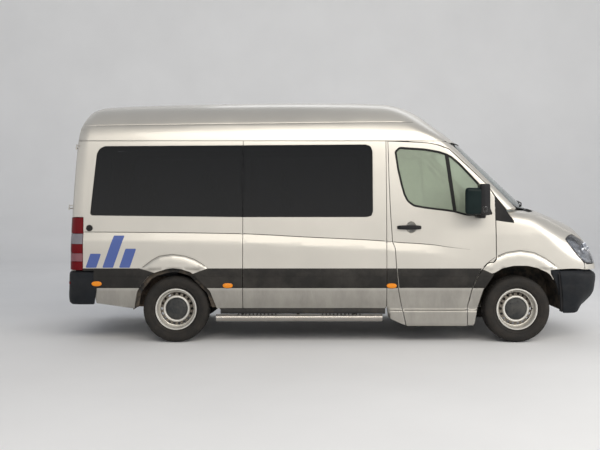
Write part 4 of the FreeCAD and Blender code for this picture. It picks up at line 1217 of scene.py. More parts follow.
LINE_Y = curve([(1840, 782), (2077, 773), (2300, 758), (2562, 738), (2700, 698), (2785, 643)])
arch_f = around(FRONT_ARCH, X_FRONT)
for side, s in SIDES:
    lw = lift_wing(s)
    V_ = lambda x, z: z - float(ZC(x))
    out = [(1726, V_(1726, 1306), 4)]
    # down the door gap, round the flare's rear end and the arch
    out += [(1724, V_(1724, 899), 16), (1694, V_(1694, 861), 6), (1635, V_(1635, 858), 6), (1572, V_(1572, 786), 8), (1640, V_(1640, 735), 20), (1704, V_(1704, 753), 40)]
    out += [(x, V_(x, z), 90) for x, z in arch_f[4:10]]
    out += [(2306, V_(2306, 742), 30), (2310, V_(2310, 780), 3), (2694, V_(2694, 780), 3), (2686, V_(2686, 852), 20), (2602, V_(2602, 940), 60), (2556, V_(2556, 1003), 60), (2488, V_(2488, 1104), 30)]
    xs = np.array([2510.0, 2545.0, 2590.0])
    vz = wing_v(lw, xs, lambda P: P[:, 2] > np.array([1124.0, 1143.0, 1152.0]))
    out += [(x, float(v), 20) for x, v in zip(xs, vz)]
    xs = np.arange(2612.0, 1860.0, -34.0)
    vy = wing_v(lw, xs, lambda P: np.abs(P[:, 1]) < LINE_Y(P[:, 0]))
    out += [(float(x), float(v), 0) for x, v in zip(xs, vy)]
    xs = np.array([1846.0, 1880.0, 1926.0])
    vb = wing_v(lw, xs[::1], lambda P: P[:, 2] > np.array([1424.0, 1368.0, 1289.0]))
    out += [(1846.0, float(vb[0]), 4), (1880.0, float(vb[1]), 10), (1928.0, float(vb[2]), 4)]
    lines = []
    for q in flare_lines()[4:]:
        lines.append(np.stack([q[:, 0], q[:, 1] - ZC(q[:, 0])], 1))
    part = surface(lw, rounded(out, 6, 24), (), lines, 26)
    put("front_wing_" + side, part, "body", "front_wings", 11, [SILVER, DARKER], 2.0)

bon = [(2338 - bulge(np.array([y]))[0], y) for y in np.linspace(-764, 764, 40)]
edge_r = [(x, float(LINE_Y(x)) - 6) for x in np.arange(2130, 2740, 32.0)]
bon_out = [(*bon[0], 20)] + [(*p, 0) for p in bon[1:-1]] + [(*bon[-1], 20)]
bon_out += [(x, y, 0) for x, y in edge_r] + [(2785, 634, 60)]
bon_out += [(2797, y, 0) for y in np.linspace(560, -560, 30)]
bon_out += [(2785, -634, 60)] + [(x, -y, 0) for x, y in edge_r[::-1]]
V2, T = fill(rounded(bon_out, 6, 26), (), (), 28)
P, N = lift_up(f_nose, 700.0)(V2)
put("bonnet_skin", (P, T, N), "bonnet", "bonnet", 11, [SILVER, DARK], 2.5)

cow = [(2330 - bulge(np.array([y]))[0], y, 0) for y in np.linspace(-778, 778, 40)] + [(2240 - bulge(np.array([y]))[0], y, 0) for y in np.linspace(778, -778, 40)]
V2, T = fill(rounded(cow, 4, 26), (), (), 22)
P, N = lift_up(lambda Q: f_nose(Q) - 7.0, 700.0)(V2)
put2("cowl_grille", (P, T, N), "body", "cowl", 10, [DARK])
fins = []
for y in np.arange(-690, 700, 23.0):
    x0 = 2290 - bulge(np.array([y]))[0]
    q = np.array([[x0 - 24, y], [x0 + 26, y]])
    Pq, Nq = lift_up(lambda Q: f_nose(Q) - 7.0, 700.0)(q)
    fins.append(tube([Pq[0] + Nq[0] * 1, (Pq[0] + Pq[1]) / 2 + Nq[0] * 2.5, Pq[1] + Nq[1] * 1], 3.2, 6))
piece("cowl_fins", add(*fins), "body", DARKER, ())

# ---------------------------------------------------------------- glass
wso = rounded([(-872, 1452, 60), (-768, 2105, 60), (-660, 2150, 200), (660, 2150, 200), (768, 2105, 60), (872, 1452, 60), (700, 1437, 300), (-700, 1437, 300)], 60, 36)
part = surface(lift_front(f_ws, 0.0, 1.5), inset(wso, 2.0), (), (), 40)
put2("windscreen_pane", part, "body", "windscreen", 6, [SCREEN])
part = band_between(lift_front(f_ws, 0.0, 9.0), inset(wso, -4.0), inset(wso, 46.0), 30)
put2("windscreen_border", part, "body", (), 3, [FRIT])

PANE = rounded(WINDOW, 20, 30)
for side, s in SIDES:
    w3 = lift_wrap(f_cab, s, 0.6)
    for nm, x0, x1 in (("rear", -2700, -997.5), ("front", -992.5, 500)):
        q = inset(PANE, 3.0)
        cut = [p for p in q if x0 < p[0] < x1]
        if nm == "rear":
            top, low = [(x1, 2118.5)], [(x1, 1350.0)]
            lowp = [p for p in cut if p[1] < 1500 and p[0] > -2600]
            ring = [p for p in cut]
            ang = sorted(ring + [np.array(top[0]), np.array(low[0])], key=lambda p: math.atan2(p[1] - 1700, (p[0] + 1800) * 0.5))
        else:
            top, low = [(x0, 2118.5)], [(x0, 1350.0)]
            ang = sorted(cut + [np.array(top[0]), np.array(low[0])], key=lambda p: math.atan2(p[1] - 1700, (p[0] + 300) * 0.5))
        part = surface(w3, np.array(ang), (), (), 42)
        put2("side_pane_%s_%s" % (nm, side), part, "body", "side_glass", 5, [TINT], 1.0)
    # bonded seal behind the panes and across the joint
    part = band_between(lift_wrap(f_cab, s, 7.0), inset(PANE, -10.0), inset(PANE, 34.0), 30)
    put2("side_glass_seal_" + side, part, "body", (), 5, [FRIT])
    part = surface(lift_wrap(f_cab, s, 7.0), rounded([(-1030, 1352), (-960, 1352), (-960, 2118), (-1030, 2118)], 2, 30), (), (), 30)
    put2("side_glass_post_" + side, part, "body", (), 30, [FRIT])

    # front door window: rubber frame, one pane, the bar across it
    body = "front_door_" + side
    wo = rounded(DOOR_WINDOW, 40, 22)
    part = band_between(lift_side(f_cab, s, -1.5), inset(wo, -1.0), inset(wo, 21.0), 16)
    put2("door_window_seal_" + side, part, body, "front_door_glass_" + side, 13, [SEAL], 3.0)
    part = surface(lift_side(f_cab, s, 6.0), inset(wo, 12.0), (), (), 45)
    put2("door_pane_" + side, part, body, "front_door_glass_" + side, 5, [GREEN], 1.0)
    bar = rounded([(1186, 2034), (1229, 2016), (1302, 1405), (1264, 1412)], 2, 22)
    part = surface(lift_side(f_cab, s, 0.5), bar, (), (), 20)
    put2("door_window_bar_" + side, part, body, (), 12, [SEAL], 3.0)

# ---------------------------------------------------------------- cladding
CLADP = curve([(584, 2), (592, 7), (608, 10), (652, 12), (702, 13), (709, 10.5), (715, 14), (747, 13), (778, 8.5), (794, 4.5), (801, 1.0)])


def f_clad(P):
    return side_y(P[:, 0], P[:, 2], True) + CLADP(P[:, 2]) - np.abs(P[:, 1])


CL_LINES = [np.stack([np.arange(-2600, 1700, 26.0), np.full(len(np.arange(-2600, 1700, 26.0)), z)], 1) for z in (592, 608, 702, 709, 715, 778, 794)]


def arch_run(outline, x0, left, z_lo, z_hi):
    """The arch's edge on one side of the hub, rising."""
    ring = rounded([(x, z, 90) for x, z in around(outline, x0)], 90, 18)
    q = ring[(ring[:, 1] > z_lo) & (ring[:, 1] < z_hi) & ((ring[:, 0] < x0) == left)]
    return [(float(x), float(z), 0) for x, z in q[np.argsort(q[:, 1])]]


ra, rb = arch_run(REAR_ARCH, X_REAR, True, 592, 752), arch_run(REAR_ARCH, X_REAR, False, 592, 752)
fa = arch_run(FRONT_ARCH, X_FRONT, True, 592, 748)
CLAD = {
    "rear": [(-2701, 800), (-2100, 800, 10)] + ra[::-1] + [(ra[0][0] - 2, 588), (-2586, 588), (-2586, 775), (-2701, 775)],
    "mid": [(rb[0][0] + 2, 588)] + rb + [(-1372, 800, 10), (-998, 800), (-998, 588)],
    "bay": [(-992, 800), (545, 800), (545, 588), (-992, 588)],
    "pillar": [(551, 800), (651, 800), (671, 588), (551, 588)],
}
for side, s in SIDES:
    for nm, q in CLAD.items():
        part = surface(lift_side(f_clad, s), rounded(q, 3, 24), (), CL_LINES, 22)
        put2("cladding_%s_%s" % (nm, side), part, "body", "side_cladding", 12, [CLAD_M], 2.0)
    q = [(661, 800), (1565, 800, 4), (1508, 713, 30), (1458, 590, 6), (681, 590, 6)]
    part = surface(lift_side(f_clad, s), rounded(q, 3, 24), (), CL_LINES, 22)
    put2("door_cladding_" + side, part, "front_door_" + side, (), 12, [CLAD_M], 2.0)
    q = [(1471, 588), (1518, 702, 30), (1573, 790, 8)] + fa[::-1] + [(fa[0][0] - 1, 588)]
    part = surface(lift_side(f_clad, s), rounded(q, 3, 24), (), CL_LINES, 22)
    put2("cladding_foot_" + side, part, "body", (), 14, [CLAD_M], 2.0)

# seal between the roof and the windscreen
yy = np.linspace(-744, 744, 41)
xx = ws_x(yy, np.full(41, 2151.0))
piece("windscreen_head_seal", tube(list(np.stack([xx - 5, yy, np.full(41, 2152.0)], 1)), 8, 10), "body", SEAL, (), 60)

# ---------------------------------------------------------------- tail: doors, glass, lamps
SLAB = [(-3, 556, 8), (-3, 2333, 12), (-724, 2333, 30), (-796, 2282, 30), (-841, 556, 20)]
REAR_WINDOW = [(-85, 1365, 30), (-85, 2040, 50), (-120, 2075, 50), (-690, 2075, 50), (-728, 2035, 50), (-750, 1400, 30), (-715, 1365, 30)]


def f_tail(P):
    """The tail with a shallow pressed panel in each door."""
    v = f_cab(P)
    a, z = np.abs(P[:, 1]), P[:, 2]
    box2 = np.maximum(np.maximum(110 - a, a - 720), np.maximum(700 - z, z - 1090))
    v = v - 7.0 * smooth(-box2 / 26.0 + 0.5) * (P[:, 0] < -2700)
    v = v + 3.5 * np.exp(-((z - 1225) / 16.0) ** 2) * (P[:, 0] < -2700)
    return v


for side, s in SIDES:
    sy = -s                          # outline tables are for the right half, y below zero
    q = [(s * -p[0], p[1], p[2]) for p in SLAB]
    w = [(s * -p[0], p[1], p[2]) for p in REAR_WINDOW]
    body = "rear_door_" + side
    press = []
    for a0, z0, a1, z1 in ((96, 686, 734, 1104), (124, 714, 706, 1076)):
        rr = rounded([(a0, z0), (a1, z0), (a1, z1), (a0, z1)], 60, 28)
        rr = np.concatenate([rr, rr[:1]])
        press.append(np.stack([s * rr[:, 0], rr[:, 1]], 1))
    for zz in (1203, 1225, 1247):
        press.append(np.array([(s * t, zz) for t in np.arange(30, 800, 28.0)]))
    part = surface(lift_tail(f_tail), rounded(q, 10, 27), [rounded(w, 30, 25)], press, 30)
    put("rear_door_skin_" + side, part, body, body, 42, [SILVER, INSIDE])
    wr = rounded(w, 30, 25)
    part = band_between(lift_tail(f_cab, -1.5), inset(wr, -2.0), inset(wr, 16.0), 16)
    put2("rear_window_seal_" + side, part, body, "rear_door_glass_" + side, 12, [SEAL], 3.0)
    part = surface(lift_tail(f_cab, 4.0), inset(wr, 10.0), (), (), 45)
    put2("rear_pane_" + side, part, body, "rear_door_glass_" + side, 5, [TINT], 1.0)

    # tail lamp in five bands
    wl = lift_wrap(f_cab, s, -3.0)
    zs = np.linspace(781, 1343, 22)
    ue = at_edge(s, zs, doorway_y(zs) + 6.0)
    for nm, z0, z1, m in (("a", 1172, 1342, RED), ("b", 1060, 1169, WHITE_LENS), ("c", 962, 1057, RED), ("d", 874, 959, PALE_RED), ("e", 782, 871, RED)):
        zz = np.linspace(z0, z1, 6)
        uu = np.interp(zz, zs, ue)
        q = [(float(a), float(b), 2) for a, b in zip(uu, zz)] + [(-2707, z1, 6), (-2707, z0, 6)]
        part = surface(wl, rounded(q, 2, 20), (), (), 20)
        put2("tail_lens_%s_%s" % (nm, side), part, "body", "tail_lamps", 9, [m], 1.5)
    q = [(float(a), float(b), 2) for a, b in zip(ue, zs)] + [(-2705, 1343, 4), (-2705, 781, 4)]
    wb = lift_wrap(f_cab, s, 9.0)
    part = surface(wb, rounded(q, 2, 22), (), (), 22)
    put2("tail_lamp_body_" + side, part, "body", "tail_lamps", 26, [RED], 1.5)
    # the rear handle's bar and plate on the first door to open are made further down

# ---------------------------------------------------------------- wheels and tyres
def wheel_y(part, s):
    return part if s > 0 else flipped(part)


def place(part, x, yc, z):
    V = np.array(part[0], float)
    V += np.array([x, yc, z])
    return V, part[1]


def tyre_part():
    half = [(226, 86), (232, 97), (240, 102), (246, 104.5), (250, 109), (255, 110), (258, 108), (272, 112.5), (290, 116.5), (303, 117.4), (306, 116.4), (318, 115),
            (329, 110.5), (338, 104), (344, 97), (347.5, 88), (348, 70), (349, 40), (349.5, 0)]
    inner = [(340, 0), (339, 60), (334, 84), (312, 99), (290, 101), (262, 96), (238, 86), (226, 80)]
    prof = half + [(r, -t) for r, t in half[:-1][::-1]] + [(r, -t) for r, t in inner[::-1]] + inner[1:]
    parts = [lathe(prof + [prof[0]], (0, 0, 0), "y", 120)]
    bands = [(-91, -64, 60, 348.5, 354.8, 7), (-57, -24, 66, 355.2, 355.7, -6), (-17, 17, 72, 355.7, 355.7, 8), (24, 57, 66, 355.7, 355.2, -6), (64, 91, 60, 354.8, 348.5, 7)]
    V, F = [], []
    for k, (t0, t1, n, ra, rb, skew) in enumerate(bands):
        for i in range(n):
            a0 = 2 * math.pi * (i + (0.5 if k % 2 else 0)) / n
            a1 = a0 + 2 * math.pi / n * 0.80
            sk = skew / 356.0
            o = len(V)
            for r0, r1 in ((341.0, 341.0), (ra, rb)):
                for a, t, e in ((a0, t0, -sk), (a1, t0, -sk), (a1, t1, sk), (a0, t1, sk)):
                    r = r0 if t == t0 else r1
                    shrink = 0.0 if r0 == 341.0 else 0.0035
                    aa = a + e + (shrink if a == a0 else -shrink)
                    V.append((r * math.cos(aa), t, r * math.sin(aa)))
            F += [(o + 4, o + 5, o + 6, o + 7), (o, o + 1, o + 5, o + 4), (o + 1, o + 2, o + 6, o + 5), (o + 2, o + 3, o + 7, o + 6), (o + 3, o, o + 4, o + 7)]
    parts.append((np.array(V), F))
    return add(*parts)


def rim_part():
    barrel = [(221.3, -84), (220, -92), (213, -92), (207, -86), (205, -80), (203, -62), (200, -40), (186, -22), (184, 0), (186, 14), (199, 30), (204, 58), (208, 78), (213, 83),
              (220.5, 83), (221.4, 86), (221, 91.5), (217, 92.6), (210, 92.4), (205.5, 88), (203, 80), (199.5, 62), (196.5, 40), (193, 22), (180, 6), (178, -2), (180, -24), (195, -42), (198, -62), (201, -84), (206, -92), (212, -96), (219, -95)]
    parts = [lathe(barrel + [barrel[0]], (0, 0, 0), "y", 120)]
    return parts[0]


DISC_Y = curve([(40, 34), (116, 34), (119, 41), (124, 47), (132, 49), (137, 47), (141, 41), (150, 34), (172, 24), (186, 12), (194, 8)])


def disc_part():
    ring = [(193.5 * math.cos(a), 193.5 * math.sin(a)) for a in np.linspace(0, 2 * math.pi, 144, endpoint=False)]
    hub = [(60 * math.cos(a), 60 * math.sin(a)) for a in np.linspace(0, 2 * math.pi, 40, endpoint=False)]
    holes = [np.array(hub)]
    for k in range(18):
        a = 2 * math.pi * k / 18
        c = (163 * math.cos(a), 163 * math.sin(a))
        holes.append(np.array([(c[0] + 14.5 * math.cos(b), c[1] + 14.5 * math.sin(b)) for b in np.linspace(0, 2 * math.pi, 16, endpoint=False)]))
    lines = []
    for r in (117, 121, 126, 132, 137, 141, 146):
        c = np.array([(r * math.cos(a), r * math.sin(a)) for a in np.linspace(0, 2 * math.pi, 121)])
        lines.append(c)
    V2, T = fill(np.array(ring), holes, lines, 11.0)
    r = np.hypot(V2[:, 0], V2[:, 1])
    y = DISC_Y(r)
    d = (DISC_Y(r + 0.5) - DISC_Y(r - 0.5))
    N = np.stack([-d * V2[:, 0] / r, np.ones(len(r)), -d * V2[:, 1] / r], 1)
    N /= np.linalg.norm(N, axis=1)[:, None]
    return np.stack([V2[:, 0], y, V2[:, 1]], 1), T, N


def cap_part():
    prof = [(0.01, 67), (20, 66.6), (34, 65.6), (36, 63.6), (40, 63.4), (42, 65), (64, 62.4), (88, 57.4), (101, 53.2), (110, 48.6), (115.5, 43), (117, 36), (112, 35), (0.01, 35)]
    parts = [lathe(prof, (0, 0, 0), "y", 96)]
    for k in range(6):
        a = 2 * math.pi * k / 6 + 0.26
        c = (82 * math.cos(a), 56.5, 82 * math.sin(a))
        parts.append(ellipsoid(c, (11, 7.5, 11), 18, 10))
    return add(*parts)


def ring_part():
    """The raised ring round the cap and the lip of the disc."""
    prof = [(117.5, 37), (118, 44), (121, 49.5), (126, 52.5), (132, 53), (137, 51.5), (141, 47), (143.5, 40), (142, 34)]
    lip = [(180, 20), (184, 22), (190, 18), (193, 12), (190, 6)]
    return add(lathe(prof, (0, 0, 0), "y", 120), lathe(lip, (0, 0, 0), "y", 120))


RING_P = ring_part()
TYRE_P, RIM_P, CAP_P, DISC_P = tyre_part(), rim_part(), cap_part(), disc_part()
for end, x, yc in (("front", 1951.0, 852.0), ("rear", -1714.0, 850.0)):
    for side, s in SIDES:
        body = "wheel_%s_%s" % (end, side)
        piece("tread_tyre_%s_%s" % (end, side), place(wheel_y(TYRE_P, s), x, s * yc, 356), body, TYRE, "tyre_%s_%s" % (end, side), 38)
        piece("steel_rim_%s_%s" % (end, side), place(wheel_y(RIM_P, s), x, s * yc, 356), body, STEEL, "wheel_%s_%s" % (end, side), 40)
        P, T, N = DISC_P
        P, N = P.copy(), N.copy()
        if s < 0:
            P[:, 1] *= -1
            N[:, 1] *= -1
        put2("wheel_disc_%s_%s" % (end, side), (P + np.array([x, s * yc, 356.0]), T, N), body, (), 6, [DISC_M], 1.5)
        piece("wheel_ring_%s_%s" % (end, side), place(wheel_y(RING_P, s), x, s * yc, 356), body, STEEL, (), 60)
        piece("hub_cap_%s_%s" % (end, side), place(wheel_y(CAP_P, s), x, s * yc, 356), body, CAP_M, (), 40)
        v = tube([(x + 176, s * (yc + 20), 356), (x + 180, s * (yc + 44), 356), (x + 182, s * (yc + 52), 356)], [5, 4.2, 3.4], 10)
        piece("valve_%s_%s" % (end, side), v, body, SEAL, ())

# ---------------------------------------------------------------- front bumper
BP = np.array([(2380, 992), (2430, 990), (2560, 984), (2640, 966), (2720, 934), (2780, 898), (2836, 840), (2876, 760), (2905, 640), (2926, 500), (2942, 330), (2950, 160), (2951, 0)], float)


def smooth_plan(P):
    d = np.concatenate([[0], np.cumsum(np.linalg.norm(np.diff(P, axis=0), axis=1))])
    cx, cy = curve(list(zip(d, P[:, 0]))), curve(list(zip(d, P[:, 1])))
    t = np.linspace(0, d[-1], 240)
    Q = np.stack([cx(t), cy(t)], 1)
    for _ in range(10):
        Q[1:-1] = (Q[:-2] + 2 * Q[1:-1] + Q[2:]) / 4
        Q[-1, 0] = Q[-2, 0]
    d = np.concatenate([[0], np.cumsum(np.linalg.norm(np.diff(Q, axis=0), axis=1))])
    u = d[-1] - d                     # distance from the centre line
    return u[::-1], Q[::-1]


BP[:, 0] -= 12.0 * np.clip((BP[:, 0] - 2600.0) / 200.0, 0, 1)
BU, BQ = smooth_plan(BP)
B_TAN = np.gradient(BQ, BU, axis=0)
D_FRONT = curve([(292, 330), (318, 300), (326, 250), (344, 200), (372, 150), (412, 112), (450, 76), (494, 42), (532, 22), (570, 13), (611, 8), (650, 3), (687, 0), (716, 2), (738, 16), (756, 44), (768, 68), (775, 84)])
D_SIDE = curve([(292, 60), (316, 44), (322, 30), (336, 20), (360, 14), (395, 9), (440, 5), (490, 3), (530, 2), (570, 1), (605, 0), (612, 4), (650, 3), (690, 3), (716, 5), (738, 11), (756, 20), (768, 28), (775, 34)])


def lift_bumper(back=0.0):
    def at(uv):
        u, z = np.abs(uv[:, 0]), uv[:, 1]
        s = np.where(uv[:, 0] < 0, -1.0, 1.0)
        px, py = np.interp(u, BU, BQ[:, 0]), np.interp(u, BU, BQ[:, 1])
        tx, ty = np.interp(u, BU, B_TAN[:, 0]), np.interp(u, BU, B_TAN[:, 1])
        ln = np.hypot(tx, ty)
        nx, ny = ty / ln, -tx / ln
        w = smooth((px - 2560) / 250.0)
        d = D_SIDE(z) * (1 - w) + D_FRONT(z) * w + back
        return np.stack([px - nx * d, s * (py - ny * d), z], 1), np.stack([nx, s * ny, np.zeros(len(u))], 1)

    def go(uv):
        P, M = at(uv)
        e = 0.7
        # one-sided over the middle so that the mirror fold leaves no crease
        a, _ = at(uv + np.array([e, 0]))
        b, _ = at(uv - np.array([e, 0]))
        c, _ = at(uv + np.array([0, e]))
        d, _ = at(uv - np.array([0, e]))
        N = np.cross(a - b, c - d)
        N /= np.maximum(np.linalg.norm(N, axis=1), 1e-9)[:, None]
        N *= np.sign(np.sum(N * M, 1))[:, None]
        return P, N

    return go


U_END = float(BU[np.argmin(np.abs(BQ[:, 0] - 2404.0) + (BQ[:, 1] < 900) * 999)])
U_LOW = float(BU[np.argmin(np.abs(BQ[:, 0] - 2436.0) + (BQ[:, 1] < 900) * 999)])
bo = [(U_END, 773, 8), (U_LOW + 6, 480, 60), (U_LOW, 318, 14)] + [(u, 316.0 + 38.0 * float(smooth((U_LOW - abs(u) - 60.0) / 320.0)), 0) for u in np.arange(U_LOW - 60, -U_LOW + 50, -60.0)]
bo += [(-U_LOW, 318, 14), (-U_LOW - 6, 480, 60), (-U_END, 773, 8)] + [(u, 773, 0) for u in np.arange(-U_END + 60, U_END - 50, 60.0)]
intake = rounded([(-430, 392), (430, 392), (400, 486), (-400, 486)], 26, 24)
fogs = [np.array([(k * 690 + 52 * math.cos(a), 452 + 44 * math.sin(a)) for a in np.linspace(0, 2 * math.pi, 36, endpoint=False)]) for k in (-1, 1)]
us = np.arange(-U_END + 12, U_END - 10, 30.0)
blines = [np.stack([us, np.full(len(us), z)], 1) for z in (756, 738, 716, 612, 604, 530, 360, 336)]
part = surface(lift_bumper(), rounded(bo, 3, 24), [intake] + fogs, blines, 26)
put2("front_bumper_skin", part, "body", "front_bumper", 5, [DARK], 2.0)
# the intake's mesh and the fog lamps' recesses
part = surface(lift_bumper(34.0), rounded([(-446, 380), (446, 380), (420, 500), (-420, 500)], 20, 30), (), (), 34)
put2("intake_back", part, "body", (), 4, [DARKER], 1.0)
bars = []
for z in (408, 428, 448, 468):
    uu = np.linspace(-425, 425, 30)
    Pb, Nb = lift_bumper(10.0)(np.stack([uu, np.full(30, z + 0.0)], 1))
    bars.append(tube(list(Pb), 3.6, 8))
for u in np.arange(-400, 401, 44.0):
    zz = np.linspace(390, 488, 5)
    Pb, Nb = lift_bumper(14.0)(np.stack([np.full(5, u), zz], 1))
    bars.append(tube(list(Pb), 2.8, 6))
piece("intake_bars", add(*bars), "body", DARKER, ())
for k in (-1, 1):
    c, nrm = lift_bumper(0.0)(np.array([[k * 690.0, 452.0]]))
    c, nrm = c[0], nrm[0]
    rows = []
    e1 = np.cross(nrm, [0, 0, 1.0])
    e1 /= np.linalg.norm(e1)
    e2 = np.cross(e1, nrm)
    for r, d in ((50, -3), (49, -16), (40, -30), (0.5, -34)):
        rows.append([c + nrm * d + e1 * r * math.cos(a) + e2 * r * 0.85 * math.sin(a) for a in np.linspace(0, 2 * math.pi, 40, endpoint=False)])
    bowl = lattice(rows, close_v=True)
    nm = "left" if k > 0 else "right"
    piece("fog_bowl_" + nm, bowl, "body", REFLECT, ())
    rows = []
    for r, d in ((51, -6), (48, -2), (30, 2.0), (0.5, 3.2)):
        rows.append([c + nrm * d + e1 * r * math.cos(a) + e2 * r * 0.85 * math.sin(a) for a in np.linspace(0, 2 * math.pi, 40, endpoint=False)])
    piece("fog_lens_" + nm, lattice(rows, close_v=True), "body", CLEAR, ())

# a backing strip behind the joint of the bumper and its cheek
U_B0 = float(BU[np.argmin(np.abs(BQ[:, 0] - 2386.0) + (BQ[:, 1] < 900) * 999)])
U_B1 = float(BU[np.argmin(np.abs(BQ[:, 0] - 2470.0) + (BQ[:, 1] < 900) * 999)])
for side, s in SIDES:
    q = rounded([(s * U_B0, 764, 6), (s * (U_B0 - 30), 330, 6), (s * U_B1, 330, 6), (s * U_B1, 764, 6)], 6, 24)
    part = surface(lift_bumper(11.0), q, (), (), 24)
    put2("bumper_joint_back_" + side, part, "body", (), 4, [DARKER], 1.0)

# cheek between the wing and the bumper
f_cheek = lambda P: f_nose(P) + 5.0
for side, s in SIDES:
    q = rounded([(2302, 776, 4), (2407, 776, 3), (2425, 660, 30), (2432, 520, 20), (2438, 330, 4), (2419, 330, 4), (2412, 505, 10), (2397, 512, 6), (2368, 628, 60)], 3, 24)
    part = surface(lift_side(f_cheek, s), q, (), (), 22)
    put2("bumper_cheek_" + side, part, "body", (), 9, [DARK], 2.0)

# ---------------------------------------------------------------- headlamps
LAMP_X0, LAMP_Y0, LAMP_K = 2350.0, 420.0, 500.0


def lift_lamp(s, back=0.0):
    g = offset_field(f_nose, -back) if back else f_nose

    def go(uv):
        th = uv[:, 0] / LAMP_K
        O = np.stack([np.full(len(uv), LAMP_X0), np.full(len(uv), s * LAMP_Y0), uv[:, 1]], 1)
        D = np.stack([np.sin(th), s * np.cos(th), np.zeros(len(uv))], 1)
        P = solve(g, O, D, 0, 900)
        return P, normals(g, P)

    return go


def lamp_u(P):
    return LAMP_K * np.arctan2(P[:, 0] - LAMP_X0, np.abs(P[:, 1]) - LAMP_Y0)


side_low = np.array([(2497, 1104), (2520, 1060), (2560, 1008), (2607, 950), (2650, 900), (2692, 864), (2716, 846)], float)
pl, _ = lift_side(f_nose, -1)(side_low)
low_uv = np.stack([lamp_u(pl), side_low[:, 1]], 1)
side_top = np.array([(2512, 1121), (2546, 1139), (2590, 1147)], float)
pt, _ = lift_side(f_nose, -1)(side_top)
top_uv = np.stack([lamp_u(pt), side_top[:, 1]], 1)
tx = np.array([2630.0, 2660, 2690, 2720, 2750, 2778, 2792])
ty = LINE_Y(tx) + 6
ty[-2:] = (650, 620)
pu, _ = lift_up(f_nose, 700.0)(np.stack([tx, -ty], 1))
top2_uv = np.stack([lamp_u(pu), pu[:, 2] - 2], 1)
z_in = np.linspace(float(pu[-1, 2]) - 26, 868, 9)
pf, _ = lift_front(f_nose)(np.stack([np.full(9, -610.0), z_in], 1))
in_uv = np.stack([lamp_u(pf), z_in], 1)
bl = np.array([640.0, 700, 760, 812])
pb_, _ = lift_front(f_nose)(np.stack([-bl, np.full(4, 842.0)], 1))
bot_uv = np.stack([lamp_u(pb_), np.full(4, 842.0)], 1)
lamp_out = np.concatenate([low_uv[:1], top_uv, top2_uv, in_uv, bot_uv, low_uv[:0:-1]])
lamp_ring = rounded([(u, z, 8) for u, z in lamp_out], 8, 20)
strip_pts = np.array([(2700, 780), (2722, 836), (2697, 858)], float)
ps_, _ = lift_side(f_nose, -1)(strip_pts)
us_ = lamp_u(ps_)
pi_, _ = lift_front(f_nose)(np.array([[-622.0, 780.0], [-622.0, 836.0]]))
ui_ = lamp_u(pi_)
strip_ring = rounded([(float(us_[0]), 780, 3), (float(ui_[0]), 780, 3), (float(ui_[1]), 836, 3), (float(us_[1]), 836, 6), (float(us_[2]), 857, 3)], 3, 20)
for side, s in SIDES:
    part = surface(lift_lamp(s), strip_ring, (), (), 20)
    put2("lamp_sill_" + side, part, "body", (), 8, [SILVER], 2.0)
for side, s in SIDES:
    part = surface(lift_lamp(s, 1.0), inset(lamp_ring, 3.0), (), (), 24)
    put2("headlamp_lens_" + side, part, "body", "headlamps", 4, [CLEAR], 1.2)
    part = band_between(lift_lamp(s, 7.0), inset(lamp_ring, 2.0), inset(lamp_ring, 15.0), 18)
    put2("headlamp_frame_" + side, part, "body", (), 26, [LAMP_DARK], 1.5)
    part = surface(lift_lamp(s, 46.0), inset(lamp_ring, 1.0), (), (), 24)
    put2("headlamp_back_" + side, part, "body", (), 8, [LAMP_GREY], 1.0)
    # ribbed turn lamp panel at the rear corner and two bowls in front
    ribs = []
    for z in np.arange(900, 1110, 15.0):
        x_lo = float(np.interp(z, [864, 1104], [2700, 2512])) + 26
        u_lo = float(lamp_u(lift_side(f_nose, -1)(np.array([[x_lo, z]]))[0])[0])
        uu = np.linspace(u_lo, 170, 9)
        if uu[-1] - uu[0] > 30:
            Pr, Nr = lift_lamp(s, 24.0)(np.stack([uu, np.full(9, z)], 1))
            ribs.append(tube(list(Pr), 3.0, 6))
    if ribs:
        piece("headlamp_ribs_" + side, add(*ribs), "body", REFLECT, ())
    for k, (yy, zz, r, nm) in enumerate(((742, 1000, 62, "outer"), (672, 968, 50, "inner"))):
        c = np.array([0, s * yy, zz], float)
        pc, _n = lift_front(f_nose)(np.array([[s * yy, zz]]))
        c[0] = pc[0, 0] - 26
        rows = []
        for rr, d in ((r + 4, 4), (r, 0), (r * 0.93, -10), (r * 0.72, -26), (r * 0.4, -37), (0.5, -41)):
            rows.append([(c[0] + d, c[1] + rr * math.cos(a), c[2] + rr * math.sin(a)) for a in np.linspace(0, 2 * math.pi, 44, endpoint=False)])
        piece("lamp_bowl_%s_%s" % (nm, side), lattice(rows, close_v=True), "body", REFLECT, (), 40)
        piece("lamp_bulb_%s_%s" % (nm, side), ellipsoid((c[0] - 16, c[1], c[2]), (20, 13, 13), 22, 12), "body", CLEAR if k else REFLECT, ())

# ---------------------------------------------------------------- front face: grille and panel under it
def z_edge(y):
    P, _n = lift_up(f_nose, 700.0)(np.array([[2797.0, v] for v in np.atleast_1d(y)]))
    return P[:, 2]


